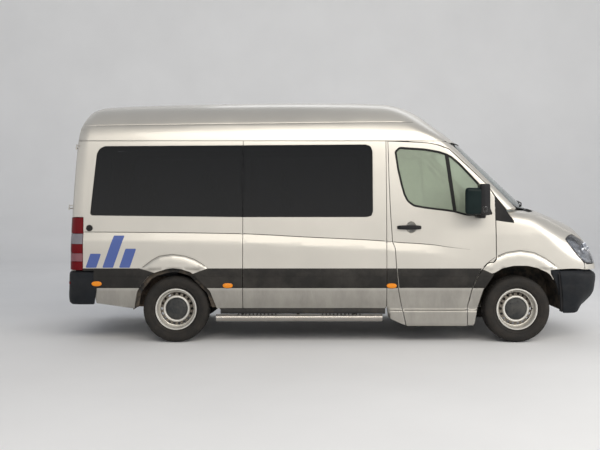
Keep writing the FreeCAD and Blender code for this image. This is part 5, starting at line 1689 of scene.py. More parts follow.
ys = np.linspace(-596, 596, 34)
gz = z_edge(ys) - 16
g_out = [(float(y), float(z), 0) for y, z in zip(ys, gz)] + [(600, 800, 14)] + [(float(y), 784, 0) for y in np.arange(540, -541, -60)] + [(-600, 800, 14)]
g_out = rounded(g_out, 4, 24)
g_hole = [(float(y), float(z) - 52, 0) for y, z in zip(ys[3:-3], gz[3:-3])] + [(470, 872, 50), (-470, 872, 50)]
g_hole = rounded(g_hole, 20, 26)
part = surface(lift_front(f_nose, 0.0, 2.0), g_out, [g_hole], (), 26)
put2("grille_surround", part, "body", "grille", 9, [DARK], 3.0)
part = surface(lift_front(f_nose, 0.0, 46.0), inset(g_hole, -22.0), (), (), 40)
put2("grille_back", part, "body", (), 4, [DARKER], 1.0)
slats = []
g_top = float(np.max(g_hole[:, 1]))
for z in np.arange(898, g_top + 40, 46.0):
    inside = [y for y in np.arange(-520, 521, 20.0) if np.interp(y, ys, gz) - 52 > z + 8 and abs(y) < 470 + (z - 872) * 0.45 - 6]
    if len(inside) < 8:
        continue
    yy = np.array(inside)
    rows = []
    for dz, bk in ((-13, 20), (-15, 10), (-9, 4), (6, 3), (13, 7), (14, 16), (4, 22)):
        Pq, _n = lift_front(f_nose, 0.0, bk)(np.stack([yy, np.full(len(yy), z + dz)], 1))
        rows.append(Pq)
    slats.append(lattice(rows, close_u=True))
if slats:
    piece("grille_slats", add(*slats), "body", GRILLE_M, (), 40)
# vertical mesh behind the slats
bars = []
for y in np.arange(-460, 461, 23.0):
    zt = float(np.interp(y, ys, gz)) - 58
    zz = np.linspace(880, zt, 7)
    Pq, _n = lift_front(f_nose, 0.0, 30.0)(np.stack([np.full(7, y), zz], 1))
    bars.append(tube(list(Pq), 2.6, 6))
piece("grille_mesh", add(*bars), "body", DARKER, ())

# ---------------------------------------------------------------- mirrors
MIR_HEAD = rounded([(1500, 1030), (1470, 1082), (1345, 1180), (1334, 1204), (1362, 1224), (1500, 1222), (1560, 1190), (1585, 1080), (1580, 1030)], 24, 12)
MIR_COL = rounded([(1508, 1012), (1606, 1018), (1622, 1075), (1604, 1190), (1540, 1225), (1496, 1226), (1494, 1180), (1506, 1090)], 22, 12)


def stacked(outline, z0, z1, cut=34.0, n=22, lean=0.0, power=2.4):
    """A closed form whose plan outline draws in at the top and the bottom."""
    c = outline.mean(0)
    rows = []
    zs = (1 - np.cos(np.linspace(0, math.pi, n))) / 2 * (z1 - z0) + z0
    for z in zs:
        e = min(z - z0, z1 - z) / cut
        k = 1.0 if e >= 1 else (1 - (1 - e) ** power) ** (1 / power)
        d = cut * 0.9 * (1 - k)
        q = c + (outline - c) * np.maximum(1 - d / np.maximum(np.linalg.norm(outline - c, axis=1), 1)[:, None], 0.12)
        rows.append([(x + lean * (z - z0), y, z) for x, y in q])
    V, F = lattice(rows, close_v=True)
    m = len(outline)
    return V, F + [tuple(range(m))[::-1], tuple(range((n - 1) * m, n * m))]


for side, s in SIDES:
    body = "front_door_" + side
    turn = (lambda p: p) if s > 0 else flipped
    piece("mirror_head_" + side, turn(stacked(MIR_HEAD, 1380, 1660, 46)), body, MIR_HEAD_M, "mirror_" + side, 60)
    piece("mirror_shell_" + side, turn(stacked(MIR_COL, 1372, 1700, 26, lean=-0.008)), body, DARKER, (), 60)
    foot = stacked(rounded([(1490, 962), (1590, 962), (1590, 1060), (1566, 1128), (1510, 1132), (1490, 1060)], 26, 12), 1338, 1404, 22, 12)
    piece("mirror_foot_" + side, turn(foot), body, DARKER, (), 60)
    # the mirror glass, facing back and in
    a, b = np.array([1468.0, 1081.0]), np.array([1352.0, 1172.0])
    nrm = np.array([-(b - a)[1], (b - a)[0]])
    nrm = nrm / np.linalg.norm(nrm)
    if nrm[0] > 0:
        nrm = -nrm
    rows = []
    ring = rounded([(6, 1412), (122, 1412), (122, 1650), (6, 1650)], 24, 14)
    for shrink, off in ((0.0, 1.0), (0.0, 4.5), (3.0, 6.0), (30.0, 6.6), (50.0, 6.8)):
        q = inset(ring, shrink) if shrink else ring
        t = (b - a) / np.linalg.norm(b - a)
        rows.append([(*(a + t * p[0] + nrm * off), p[1]) for p in q])
    k = min(len(r) for r in rows)
    rows = [[r[int(i * len(r) / k)] for i in range(k)] for r in rows]
    gl = lattice(rows, close_v=True)
    gl = (gl[0], gl[1] + [tuple(range(4 * k, 5 * k))])
    piece("mirror_glass_" + side, turn(gl), body, MIRROR_M, (), 40)
    # clear repeater lens low on the shell
    rep = rounded([(1519, 1402), (1568, 1402), (1568, 1462), (1519, 1470)], 10, 8)
    rows = []
    for x, z in rep:
        y = np.interp(x, [1494, 1500, 1540, 1604, 1622], [1222, 1226, 1225, 1190, 1075])
        rows.append((x, y, z))
    rep3 = np.array(rows)
    c3 = rep3.mean(0)
    rows = [rep3 + np.array([0, d, 0]) + (c3 - rep3) * k for k, d in ((0, -8), (0, 0.5), (0.10, 1.6), (0.5, 2.4), (0.98, 2.6))]
    piece("repeater_" + side, turn(lattice(rows, close_v=True)), body, CLEAR, (), 50)
    rows = [rep3 + np.array([0, d, 0]) + (c3 - rep3) * k for k, d in ((0.06, -8), (0.1, -1.5), (0.5, -1), (0.98, -1))]
    piece("repeater_back_" + side, turn(lattice(rows, close_v=True)), body, REFLECT, (), 50)

# ---------------------------------------------------------------- handles, markers, disc
def on_side(f, s, x, z, up=0.0):
    P, N = lift_side(f, s)(np.array([[x, z]], float))
    return P[0], N[0]


def strap_handle(s, x0, x1, z):
    """Bar handle over a round dish pressed in the door."""
    t = np.linspace(0, 1, 15)
    P, N = lift_side(f_cab, s)(np.stack([x0 + (x1 - x0) * t, np.full(15, float(z))], 1))
    e = np.minimum(t, 1 - t) / 0.13
    out = 5 + 27 * np.sin(np.minimum(e, 1) * math.pi / 2)
    pts = P + N * out[:, None]
    rows = []
    for i, p in enumerate(pts):
        h = 24.0 * (0.80 + 0.20 * math.sin(math.pi * t[i])) * (1 if 0 < i < len(pts) - 1 else 0.82)
        w = 11.0
        rows.append([p + np.array([0, s * w * math.copysign(abs(math.cos(a)) ** 0.8, math.cos(a)), h * math.copysign(abs(math.sin(a)) ** 0.8, math.sin(a))]) for a in np.linspace(0, 2 * math.pi, 20, endpoint=False)])
    V, F = lattice(rows, close_v=True)
    m = len(rows)
    F = F + [tuple(range(20))[::-1], tuple(range((m - 1) * 20, m * 20))]
    return V, F


def dish(s, xc, zc, rx, rz, into=False):
    ks = ((1.01, -4.0), (0.99, -2.0), (0.93, -12.0), (0.80, -21.0), (0.6, -27.0), (0.3, -30.0), (0.02, -30.5)) if into else ((1.0, -3.0), (1.0, 3.0), (0.93, 3.0), (0.84, 1.5), (0.6, 0.6), (0.3, 0.4), (0.02, 0.4))
    a = np.linspace(0, 2 * math.pi, 44, endpoint=False)
    q = np.concatenate([np.stack([xc + rx * k * np.cos(a), zc + rz * k * np.sin(a)], 1) for k, d in ks])
    P, N = lift_side(f_cab, s)(q)
    P = P.reshape(len(ks), 44, 3) + N.reshape(len(ks), 44, 3) * np.array([d for k, d in ks])[:, None, None]
    return lattice(P, close_v=True)


def many_side(f, s, q):
    return lift_side(f, s)(np.asarray(q, float))


def pad_on(f, s, outline, rise=8.0, base=-4.0, edge=6.0):
    """A low rounded pad of this outline on the side surface."""
    rows = []
    c = outline.mean(0)
    for k, d in ((0.0, base), (0.0, rise * 0.55), (0.10, rise * 0.86), (0.25, rise), (0.6, rise * 1.1), (0.98, rise * 1.13)):
        q = outline + (c - outline) * k
        P, N = many_side(f, s, q)
        rows.append(P + N * d)
    return lattice(rows, close_v=True)


for side, s in SIDES:
    body = "front_door_" + side
    piece("handle_dish_" + side, dish(s, 811, 1238, 54, 62, True), body, SHADED_DISH_M, (), 40)
    piece("handle_bar_" + side, strap_handle(s, 661, 918, 1236), body, DARKER, (), 50)
    for i, (x, z) in enumerate(((-2552, 636), (-1153, 617), (598, 615))):
        el = np.array([(x + 53 * math.copysign(abs(math.cos(a)) ** 0.85, math.cos(a)), z + 26 * math.copysign(abs(math.sin(a)) ** 0.85, math.sin(a))) for a in np.linspace(0, 2 * math.pi, 40, endpoint=False)])
        piece("side_marker_%d_%s" % (i + 1, side), pad_on(f_clad, s, el, 9.0), "body", MARKER_M, (), 50)
        el2 = np.array([(x + 60 * math.cos(a), z + 31 * math.sin(a)) for a in np.linspace(0, 2 * math.pi, 40, endpoint=False)])
        piece("marker_seat_%d_%s" % (i + 1, side), pad_on(f_clad, s, el2, 2.4), "body", DARKER, (), 50)
    # black round rubber buffer on the rear quarter
    el = np.array([(-2637 + 34 * math.cos(a), 1230 + 34 * math.sin(a)) for a in np.linspace(0, 2 * math.pi, 36, endpoint=False)])
    piece("quarter_buffer_" + side, pad_on(f_cab, s, el, 14.0), "body", SEAL, (), 50)

# blue bars on the rear quarter, in a plain slanted layout
def film(outline, s, name, f=None, rise=0.7):
    q = rounded(outline, 10, 22)
    P, T, N = surface(lift_side(f or f_cab, s, -rise), q, (), (), 30)
    put2(name, (P, T, N), "body", (), 0.5, [BLUE], 0.2)


for side, s in SIDES:
    if s > 0:
        continue
    film([(-2675, 806), (-2560, 806), (-2508, 956), (-2623, 956)], s, "blue_bar_a_" + side)
    film([(-2496, 806), (-2381, 806), (-2259, 1150), (-2374, 1150)], s, "blue_bar_b_" + side)
    film([(-2317, 806), (-2202, 806), (-2132, 1010), (-2247, 1010)], s, "blue_bar_c_" + side)

# ---------------------------------------------------------------- sliding door's handle and rail, left side
s = 1
piece("slide_handle_dish", dish(1, 392, 1238, 54, 62), "body", SHADED_DISH_M, (), 40)
piece("slide_handle_bar", strap_handle(1, 300, 500, 1236), "body", DARKER, (), 50)
rail = rounded([(-2380, 1228), (-1002, 1214), (-1002, 1246), (-2380, 1260)], 8, 20)
part = surface(lift_side(f_cab, 1, -4.0), rail, (), (), 30)
put2("slide_rail", part, "body", (), 6, [DARKER], 2.0)
rail2 = rounded([(-2370, 1240), (-1006, 1226), (-1006, 1234), (-2370, 1248)], 3, 20)
part = surface(lift_side(f_cab, 1, -7.0), rail2, (), (), 30)
put2("slide_rail_lip", part, "body", (), 4, [CAST], 1.0)

# ---------------------------------------------------------------- rear bumper
RP = np.array([(-2520, 990), (-2680, 988), (-2780, 978), (-2838, 955), (-2870, 915), (-2885, 858), (-2891, 700), (-2896, 400), (-2898, 0)], float)
d_ = np.concatenate([[0], np.cumsum(np.linalg.norm(np.diff(RP, axis=0), axis=1))])
cx_, cy_ = curve(list(zip(d_, RP[:, 0]))), curve(list(zip(d_, RP[:, 1])))
t_ = np.linspace(0, d_[-1], 240)
RQ = np.stack([cx_(t_), cy_(t_)], 1)
for _ in range(10):
    RQ[1:-1] = (RQ[:-2] + 2 * RQ[1:-1] + RQ[2:]) / 4
    RQ[-1, 0] = RQ[-2, 0]
d_ = np.concatenate([[0], np.cumsum(np.linalg.norm(np.diff(RQ, axis=0), axis=1))])
RU, RQ = (d_[-1] - d_)[::-1], RQ[::-1]
R_TAN = np.gradient(RQ, RU, axis=0)
D_REAR = curve([(408, 34), (416, 20), (432, 8), (470, 2), (520, 0), (545, 1), (560, 3), (640, 4), (735, 6), (752, 12), (764, 24), (770, 34)])


def lift_rear_bumper(back=0.0):
    def at(uv):
        u, z = np.abs(uv[:, 0]), uv[:, 1]
        s = np.where(uv[:, 0] < 0, -1.0, 1.0)
        px, py = np.interp(u, RU, RQ[:, 0]), np.interp(u, RU, RQ[:, 1])
        tx, ty = np.interp(u, RU, R_TAN[:, 0]), np.interp(u, RU, R_TAN[:, 1])
        ln = np.hypot(tx, ty)
        nx, ny = -ty / ln, tx / ln
        d = D_REAR(z) + back
        return np.stack([px - nx * d, s * (py - ny * d), z], 1), np.stack([nx, s * ny, np.zeros(len(u))], 1)

    def go(uv):
        P, M = at(uv)
        e = 0.7
        a, _ = at(uv + np.array([e, 0]))
        b, _ = at(uv - np.array([e, 0]))
        c, _ = at(uv + np.array([0, e]))
        d, _ = at(uv - np.array([0, e]))
        N = np.cross(a - b, c - d)
        N /= np.maximum(np.linalg.norm(N, axis=1), 1e-9)[:, None]
        M[:, 0] = np.where(np.abs(M[:, 0]) + np.abs(M[:, 1]) < 0.1, -1.0, M[:, 0])
        N *= np.where(np.sum(N * M, 1) < 0, -1.0, 1.0)[:, None]
        return P, N

    return go


u_a = float(RU[-1]) - 30
u_c = float(RU[np.argmin(np.abs(RQ[:, 1] - 862) + (RQ[:, 0] > -2828) * 999)])
ro = [(u_a, 768, 12), (u_a - 6, 560, 20), (u_a - 30, 412, 20)] + [(u, 410, 0) for u in np.arange(u_a - 100, -u_a + 90, -60.0)] + [(-u_a + 30, 412, 20), (-u_a + 6, 560, 20), (-u_a, 768, 12)]
ro += [(u, 768, 0) for u in np.arange(-u_a + 60, -u_c - 20, 60.0)] + [(-u_c, 768, 16), (-u_c + 8, 546, 20)] + [(u, 544, 0) for u in np.arange(-u_c + 70, u_c - 60, 60.0)] + [(u_c - 8, 546, 20), (u_c, 768, 16)]
ro += [(u, 768, 0) for u in np.arange(u_c + 60, u_a - 40, 60.0)]
us = np.arange(-u_a + 20, u_a - 20, 30.0)
rl = [np.stack([us, np.full(len(us), z)], 1) for z in (752, 735, 560, 430)]
part = surface(lift_rear_bumper(), rounded(ro, 3, 24), (), rl[3:], 26)
put2("rear_bumper_skin", part, "body", "rear_bumper", 5, [DARK], 2.0)
# the centre step: a tread plate with ribs
st = []
for k, x in enumerate(np.linspace(-2874, -2824, 5)):
    st.append(block((x - 3.5, -800, 541), (x + 3.5, 800, 549), 2.5, 2))
st.append(block((-2884, -835, 520), (-2716, 835, 542), 6, 3))
piece("rear_step", add(*st), "body", DARKER, ())
for side, s in SIDES:
    b = block((-2790, min(s * 860, s * 905), 500), (-2640, max(s * 860, s * 905), 545), 5, 2)
    piece("rear_bumper_stay_" + side, b, "body", CHASSIS, ())
# round red reflectors low on the corners of the bumper
for side, s in SIDES:
    uu = s * float(RU[np.argmin(np.abs(RQ[:, 1] - 914) + (RQ[:, 0] > -2800) * 999)])
    rows = []
    ring = rounded([(-34, -15), (34, -15), (34, 15), (-34, 15)], 8, 10)
    for k, d in ((0.0, 4), (0.0, -2), (0.12, -4), (0.98, -4.5)):
        q = ring * (1 - k)
        P, N = lift_rear_bumper(d)(np.stack([uu + q[:, 0], 640 + q[:, 1]], 1))
        rows.append(P)
    piece("rear_reflector_" + side, lattice(rows, close_v=True), "body", RED, (), 50)

# ---------------------------------------------------------------- side bars
for side, s in SIDES:
    pts = [(-1276, s * 985, 272)] + [(x, s * 985, 272) for x in np.linspace(-1230, 450, 9)] + [(496, s * 985, 272)]
    bar = tube(pts, 38, 32, caps=False)
    ends = []
    for x, d in ((-1276, -1), (496, 1)):
        rows = []
        for r, t in ((38, 0), (36.5, 2.0), (30, 3.2), (26, 2.0), (0.5, 2.0)):
            rows.append([(x + d * t * 0.6, s * 985 + r * math.cos(a), 272 + r * math.sin(a)) for a in np.linspace(0, 2 * math.pi, 32, endpoint=False)])
        ends.append(lattice(rows, close_v=True))
    piece("side_bar_" + side, bar, "body", BRIGHT, "side_bars", 50)
    piece("side_bar_caps_" + side, add(*ends), "body", SEAL, (), 40)
    steps = []
    for x0, x1 in ((-1040, -640), (-140, 260)):
        for k in range(11):
            x = x0 + (x1 - x0) * k / 10
            steps.append(block((x - 9, s * 985 - 20, 307), (x + 9, s * 985 + 20, 311.5), 2, 2))
    piece("side_bar_treads_" + side, add(*steps), "body", SEAL, (), 40)
    br = []
    for x in (-1000, -400, 200):
        a = [(x, s * 968, 262), (x, s * 940, 256), (x, s * 905, 280), (x, s * 880, 350), (x, s * 874, 430), (x, s * 872, 500)]
        br.append(tube(a, [15, 15, 15, 14, 13, 13], 12))
        br.append(block((x - 26, min(s * 866, s * 876), 440), (x + 26, max(s * 866, s * 876), 536), 3, 2))
    piece("side_bar_brackets_" + side, add(*br), "body", CHASSIS, ())

# a plate round the inside of each rear arch, between the skin and the wheel house
arch_ring = rounded([(*p, 60) for p in arch_r], 60, 18)
a_th = np.arctan2(arch_ring[:, 1] - Z_HUB, arch_ring[:, 0] - X_REAR)
a_rr = np.hypot(arch_ring[:, 0] - X_REAR, arch_ring[:, 1] - Z_HUB)
up = arch_ring[:, 1] > Z_HUB + 30
o_ = np.argsort(a_th[up])
th_ = np.linspace(math.radians(6), math.radians(174), 70)
rr_ = np.interp(th_, a_th[up][o_], a_rr[up][o_])
for side, s in SIDES:
    rows = []
    for dr, yy in ((13, 942), (13, 935), (-42, 935), (-42, 942)):
        rows.append(np.stack([X_REAR + (rr_ + dr) * np.cos(th_), np.full(70, s * float(yy)), Z_HUB + (rr_ + dr) * np.sin(th_)], 1))
    V, F = lattice(np.array(rows), close_u=True)
    F = F + [(0, 70, 140, 210)[::-1], (69, 139, 209, 279)]
    piece("rear_arch_plate_" + side, (V, F) if s > 0 else (V, [f[::-1] for f in F]), "body", LINER, (), 40)

# a dark rail between the skin's lower edge and the side bar, put there to show the shade under the body
for side, s in SIDES:
    y0, y1 = sorted((s * 906, s * 934))
    rail = block((-1236, y0, 306), (536, y1, 372), 6, 3)
    lip = [block((x - 3, min(s * 932, s * 938), 312), (x + 3, max(s * 932, s * 938), 366), 1.5, 2) for x in np.arange(-1200, 520, 120.0)]
    piece("sill_rail_" + side, add(rail, *lip), "body", CHASSIS, ())

# ---------------------------------------------------------------- rear door hinges, handles, plates
HA, HD = np.array([-2951.6, -862.0, 900.0]), np.array([0.1130, 0.0280, 1.0])
HD = HD / np.linalg.norm(HD)


def cyl(c, d, r, h0, h1, n=20):
    e1 = np.cross(d, [0, 1.0, 0])
    e1 /= np.linalg.norm(e1)
    e2 = np.cross(d, e1)
    rows = []
    for rr, t in ((0.4, h0), (r - 1.5, h0), (r, h0 + 1.5), (r, h1 - 1.5), (r - 1.5, h1), (0.4, h1)):
        rows.append([c + d * t + rr * (e1 * math.cos(a) + e2 * math.sin(a)) for a in np.linspace(0, 2 * math.pi, n, endpoint=False)])
    return lattice(rows, close_v=True)


for side, s in SIDES:
    turn = (lambda p: p) if s < 0 else flipped
    dk, bk = [], []
    for z in (1440.0, 2096.0):
        c = HA + HD * ((z - HA[2]) / HD[2])
        dk.append(cyl(c, HD, 6.5, -17, 17))
        dk.append(tube([c + [0, 2, -2], c + [2, 20, -2], c + [14, 40, -2], c + [44, 52, -2], c + [78, 56, -2]], [5, 6, 7, 8, 8], 12))
        bk.append(cyl(c, HD, 6.5, 19.5, 40))
        d = c + HD * 30
        bk.append(tube([d + [0, -2, 0], d + [2, -18, 0], d + [12, -32, 0], d + [40, -40, 0], d + [74, -40, 0]], [5, 5.5, 6.5, 7, 7], 12))
    piece("rear_hinge_door_" + side, turn(add(*dk)), "rear_door_" + side, SILVER, (), 40)
    piece("rear_hinge_post_" + side, turn(add(*bk)), "body", SILVER, (), 40)


rows = []
hp, hn = lift_tail(f_cab)(np.stack([-44 - 150 * np.linspace(0, 1, 14), np.full(14, 1052.0)], 1))
for t in np.linspace(0, 1, 14):
    e = min(t, 1 - t) / 0.14
    out = 5 + 24 * (1 if e > 1 else math.sin(e * math.pi / 2))
    p = hp[len(rows)] + hn[len(rows)] * out
    rows.append([p + np.array([9 * math.cos(a), 0, 17 * math.sin(a)]) for a in np.linspace(0, 2 * math.pi, 18, endpoint=False)])
V, F = lattice(rows, close_v=True)
F = F + [tuple(range(18))[::-1], tuple(range(13 * 18, 14 * 18))]
piece("rear_handle_bar", (V, F), "rear_door_right", DARKER, (), 50)
ring = rounded([(-30, 1008), (-208, 1008), (-208, 1096), (-30, 1096)], 26, 12)
rows = []
c = ring.mean(0)
for k, d in ((0.0, -3), (0.0, 3), (0.06, 4), (0.12, 2), (0.3, 1.2), (0.98, 1.2)):
    q = ring + (c - ring) * k
    P, N = lift_tail(f_cab)(q)
    rows.append(P + N * d)
piece("rear_handle_plate", lattice(rows, close_v=True), "rear_door_right", DARKER, (), 50)
# blank plates, rear on the left door, front on the bumper
ring = rounded([(168, 820), (688, 820), (688, 930), (168, 930)], 10, 14)
hold = rounded([(154, 806), (702, 806), (702, 944), (154, 944)], 14, 14)
P0, _ = lift_tail(f_cab)(hold)
x_flat = P0[:, 0].min() - 3.0
rows = []
for q, d in ((hold, -2.0), (hold, None), (hold.mean(0) + (hold - hold.mean(0)) * 0.985, None), (hold.mean(0) + (hold - hold.mean(0)) * 0.02, None)):
    P, _ = lift_tail(f_cab)(q)
    P[:, 0] = P[:, 0] - d if d is not None else x_flat - (0.0 if len(rows) == 1 else 1.5)
    rows.append(P)
piece("plate_rear_holder", lattice(rows, close_v=True), "rear_door_left", DARKER, (), 40)
rows = []
c = ring.mean(0)
for k, d in ((0.0, 1.0), (0.0, 3.6), (0.01, 4.4), (0.03, 3.8), (0.98, 3.8)):
    q = ring + (c - ring) * k
    P, _ = lift_tail(f_cab)(q)
    P[:, 0] = x_flat - 1.5 - d
    rows.append(P)
piece("plate_rear", lattice(rows, close_v=True), "rear_door_left", PLATE, (), 40)
ring = rounded([(-260, 598), (260, 598), (260, 706), (-260, 706)], 10, 14)
c = ring.mean(0)
back_ring = rounded([(-275, 586), (275, 586), (275, 718), (-275, 718)], 14, 14)
rows = []
for k, d in ((0.0, 6), (0.0, -2), (0.98, -2)):
    q = back_ring + (back_ring.mean(0) - back_ring) * k
    rows.append(lift_bumper(d)(q)[0])
piece("plate_holder", lattice(rows, close_v=True), "body", DARKER, (), 40)
rows = []
for k, d in ((0.0, -1), (0.0, -3.2), (0.01, -4), (0.03, -3.2), (0.98, -3.2)):
    q = ring + (c - ring) * k
    P = lift_bumper(d)(q)[0]
    rows.append(np.minimum(P, np.array([2954.6, 9999, 9999])))
piece("plate_front", lattice(rows, close_v=True), "body", PLATE, (), 40)

# ---------------------------------------------------------------- wipers
for k, ((ya, za), (yb, zb)) in enumerate((((-640, 1464), (-70, 1500)), ((110, 1464), (730, 1506)))):
    t = np.linspace(0, 1, 16)
    yz = np.stack([ya + (yb - ya) * t, za + (zb - za) * t + 10 * np.sin(np.pi * t)], 1)
    Pw, Nw = lift_front(f_ws)(yz)
    arm = tube(list(Pw + Nw * (8 + 6 * np.sin(np.pi * t))[:, None]), [9 - 4 * v for v in t], 10)
    blade = []
    tb = np.linspace(0.18, 1.0, 18)
    yz2 = np.stack([ya + (yb - ya) * tb, za + (zb - za) * tb + 24], 1)
    Pb, Nb = lift_front(f_ws)(yz2)
    blade.append(tube(list(Pb + Nb * 6.5), 4.5, 8))
    blade.append(tube(list(Pb + Nb * 2.2), 2.0, 6))
    mid = [arm[0].reshape(-1, 3)[10 * 9:10 * 10].mean(0), Pb[9] + Nb[9] * 9]
    blade.append(tube(mid, 5, 8))
    hub = lathe([(0.4, 9), (7, 8.5), (9, 5), (10, -6), (0.4, -6)], (0, 0, 0), "z", 24)
    Vh = np.array(hub[0], float) + Pw[0]
    piece("wiper_%d" % (k + 1), add(arm, *blade, (Vh, hub[1])), "body", DARKER, "wipers", 50)

# ---------------------------------------------------------------- dashboard and steering wheel
DASH_TOP = rounded([(1568, 1008, 6), (1506, 1094, 40), (1503, 1198, 40), (1562, 1306, 60), (1700, 1363, 80), (1868, 1366, 6), (1870, 1006, 6)], 20, 16)


def dash_rows():
    rows = []
    for y in np.linspace(-832, 832, 61):
        a = abs(y)
        fwd = 26 * (a / 832) ** 4 * 1.0
        hood = 22 * math.exp(-((y - 430) / 190) ** 2)
        mid = -34 * math.exp(-(y / 150) ** 4)
        row = []
        for x, z in DASH_TOP:
            k = np.clip((1720 - x) / 220, 0, 1)
            up = np.clip((z - 1180) / 140, 0, 1) * (1 if z < 1400 else 0)
            row.append((min(x + fwd * k + mid * k * (1 if z < 1290 else 0.4), 1871), y * (1 - 0.0), z + hood * up * k - 5 * (a / 832) ** 2 * up))
        rows.append(row)
    return rows


rows = dash_rows()
V, F = lattice(rows, close_v=True)
m = len(rows[0])
V = np.array(V)
V[:, 2] = np.minimum(V[:, 2], 1371.0)
F = F + [tuple(range(m)), tuple(range(60 * m, 61 * m))[::-1]]
piece("dashboard_shell", (V, F), "body", DASHP, "dashboard", 46)
det = []
for y in (-640, -430, -210, 210, 650):
    det.append(block((1500, y - 70, 1196), (1530, y + 70, 1252), 6, 2))
piece("dash_vents", add(*det), "body", DARKER, ())
bars = []
for y in (-640, -430, -210, 210, 650):
    for z in (1206, 1217, 1228, 1239):
        bars.append(block((1494, y - 62, z - 2), (1502, y + 62, z + 2), 1.2, 1))
piece("dash_vent_bars", add(*bars), "body", DASHP, ())
piece("centre_console", add(block((1440, -120, 1000), (1530, 120, 1190), 18, 3), block((1424, -96, 1112), (1446, 96, 1176), 8, 2)), "body", DASHP, ())
knobs = []
for y in (-56, 0, 56):
    knobs.append(lathe([(0.4, -20), (15, -19), (17, -16), (17, 0), (0.4, 0)], (1442, y, 1060), "x", 28))
piece("console_knobs", add(*knobs), "body", DARKER, (), 40)
lever = add(tube([(1450, 40, 1100), (1430, 44, 1150), (1396, 46, 1196)], [10, 8, 8], 12), ellipsoid((1388, 46, 1208), (24, 22, 26), 24, 14))
piece("gear_lever", lever, "body", DARKER, (), 50)
piece("gauge_hood", add(block((1520, 318, 1240), (1600, 542, 1366), 30, 4)), "body", DASHP, (), 46)

AX = np.array([-0.911922, 0.0, 0.410365])
E1 = np.array([0.0, 1.0, 0.0])
E2 = np.cross(AX, E1)
C0 = np.array([1366.0, 430.0, 1270.5])


def tilted(P3):
    P3 = np.asarray(P3, float)
    return C0 + P3[:, :1] * E1 + P3[:, 1:2] * E2 + P3[:, 2:3] * AX


ringp = []
for a in np.linspace(0, 2 * math.pi, 72, endpoint=False):
    c = np.array([185 * math.cos(a), 185 * math.sin(a), 0])
    r0 = np.array([math.cos(a), math.sin(a), 0])
    ringp.append([c + 14.5 * (r0 * math.cos(b) + np.array([0, 0, 1.0]) * math.sin(b)) for b in np.linspace(0, 2 * math.pi, 18, endpoint=False)])
V, F = lattice(ringp, close_u=True, close_v=True)
parts = [(tilted(V), F)]
for ang in (0, 180, 250, 290):
    a = math.radians(ang)
    rows = []
    for t, w, h in ((40, 24, 9), (70, 19, 8), (110, 15, 7), (150, 15, 6.5), (178, 20, 6)):
        cc = np.array([t * math.cos(a), t * math.sin(a), -8 + 8 * (t / 185)])
        tang = np.array([-math.sin(a), math.cos(a), 0])
        rows.append([cc + tang * w * math.copysign(abs(math.cos(b)) ** 0.7, math.cos(b)) + np.array([0, 0, 1.0]) * h * math.copysign(abs(math.sin(b)) ** 0.7, math.sin(b)) for b in np.linspace(0, 2 * math.pi, 16, endpoint=False)])
    V, F = lattice(rows, close_v=True)
    parts.append((tilted(V), F))
hub = lathe([(0.4, 14), (34, 13), (52, 8), (61, 0), (61, -14), (50, -20), (24, -24), (20, -36), (0.4, -36)], (0, 0, 0), "z", 40)
parts.append((tilted(hub[0]), hub[1]))
piece("steering_wheel_full", add(*parts), "steering_wheel", DARKER, "steering_wheel", 50)
col = tube([C0 - AX * 38, C0 - AX * 110, C0 - AX * 190], [34, 40, 44], 24)
piece("steering_column", col, "body", DASHP, (), 50)
stalks = add(tube([C0 - AX * 66 + E1 * 30, C0 - AX * 58 + E1 * 90, C0 - AX * 52 + E1 * 140], [6, 5, 6], 10), tube([C0 - AX * 66 - E1 * 30, C0 - AX * 58 - E1 * 90, C0 - AX * 52 - E1 * 140], [6, 5, 6], 10))
piece("column_stalks", stalks, "body", DARKER, (), 50)

# ---------------------------------------------------------------- seats: padded forms blown up by cloth simulation
def pad_mesh(name, rows, voxel):
    """A closed lofted form, voxel remeshed."""
    V, F = lattice(rows, close_v=True)
    m = len(rows[0])
    F = F + [tuple(range(m))[::-1], tuple(range((len(rows) - 1) * m, len(rows) * m))]
    me = bpy.data.meshes.new(name)
    me.from_pydata([tuple(v) for v in np.asarray(V) * MM], [], F)
    bm = bmesh.new()
    bm.from_mesh(me)
    bmesh.ops.recalc_face_normals(bm, faces=bm.faces)
    bm.to_mesh(me)
    bm.free()
    o = bpy.data.objects.new(name, me)
    bpy.context.scene.collection.objects.link(o)
    md = o.modifiers.new("r", "REMESH")
    md.mode = "VOXEL"
    md.voxel_size = voxel * MM
    dg = bpy.context.evaluated_depsgraph_get()
    me2 = bpy.data.meshes.new_from_object(o.evaluated_get(dg))
    o.modifiers.clear()
    o.data = me2
    return o


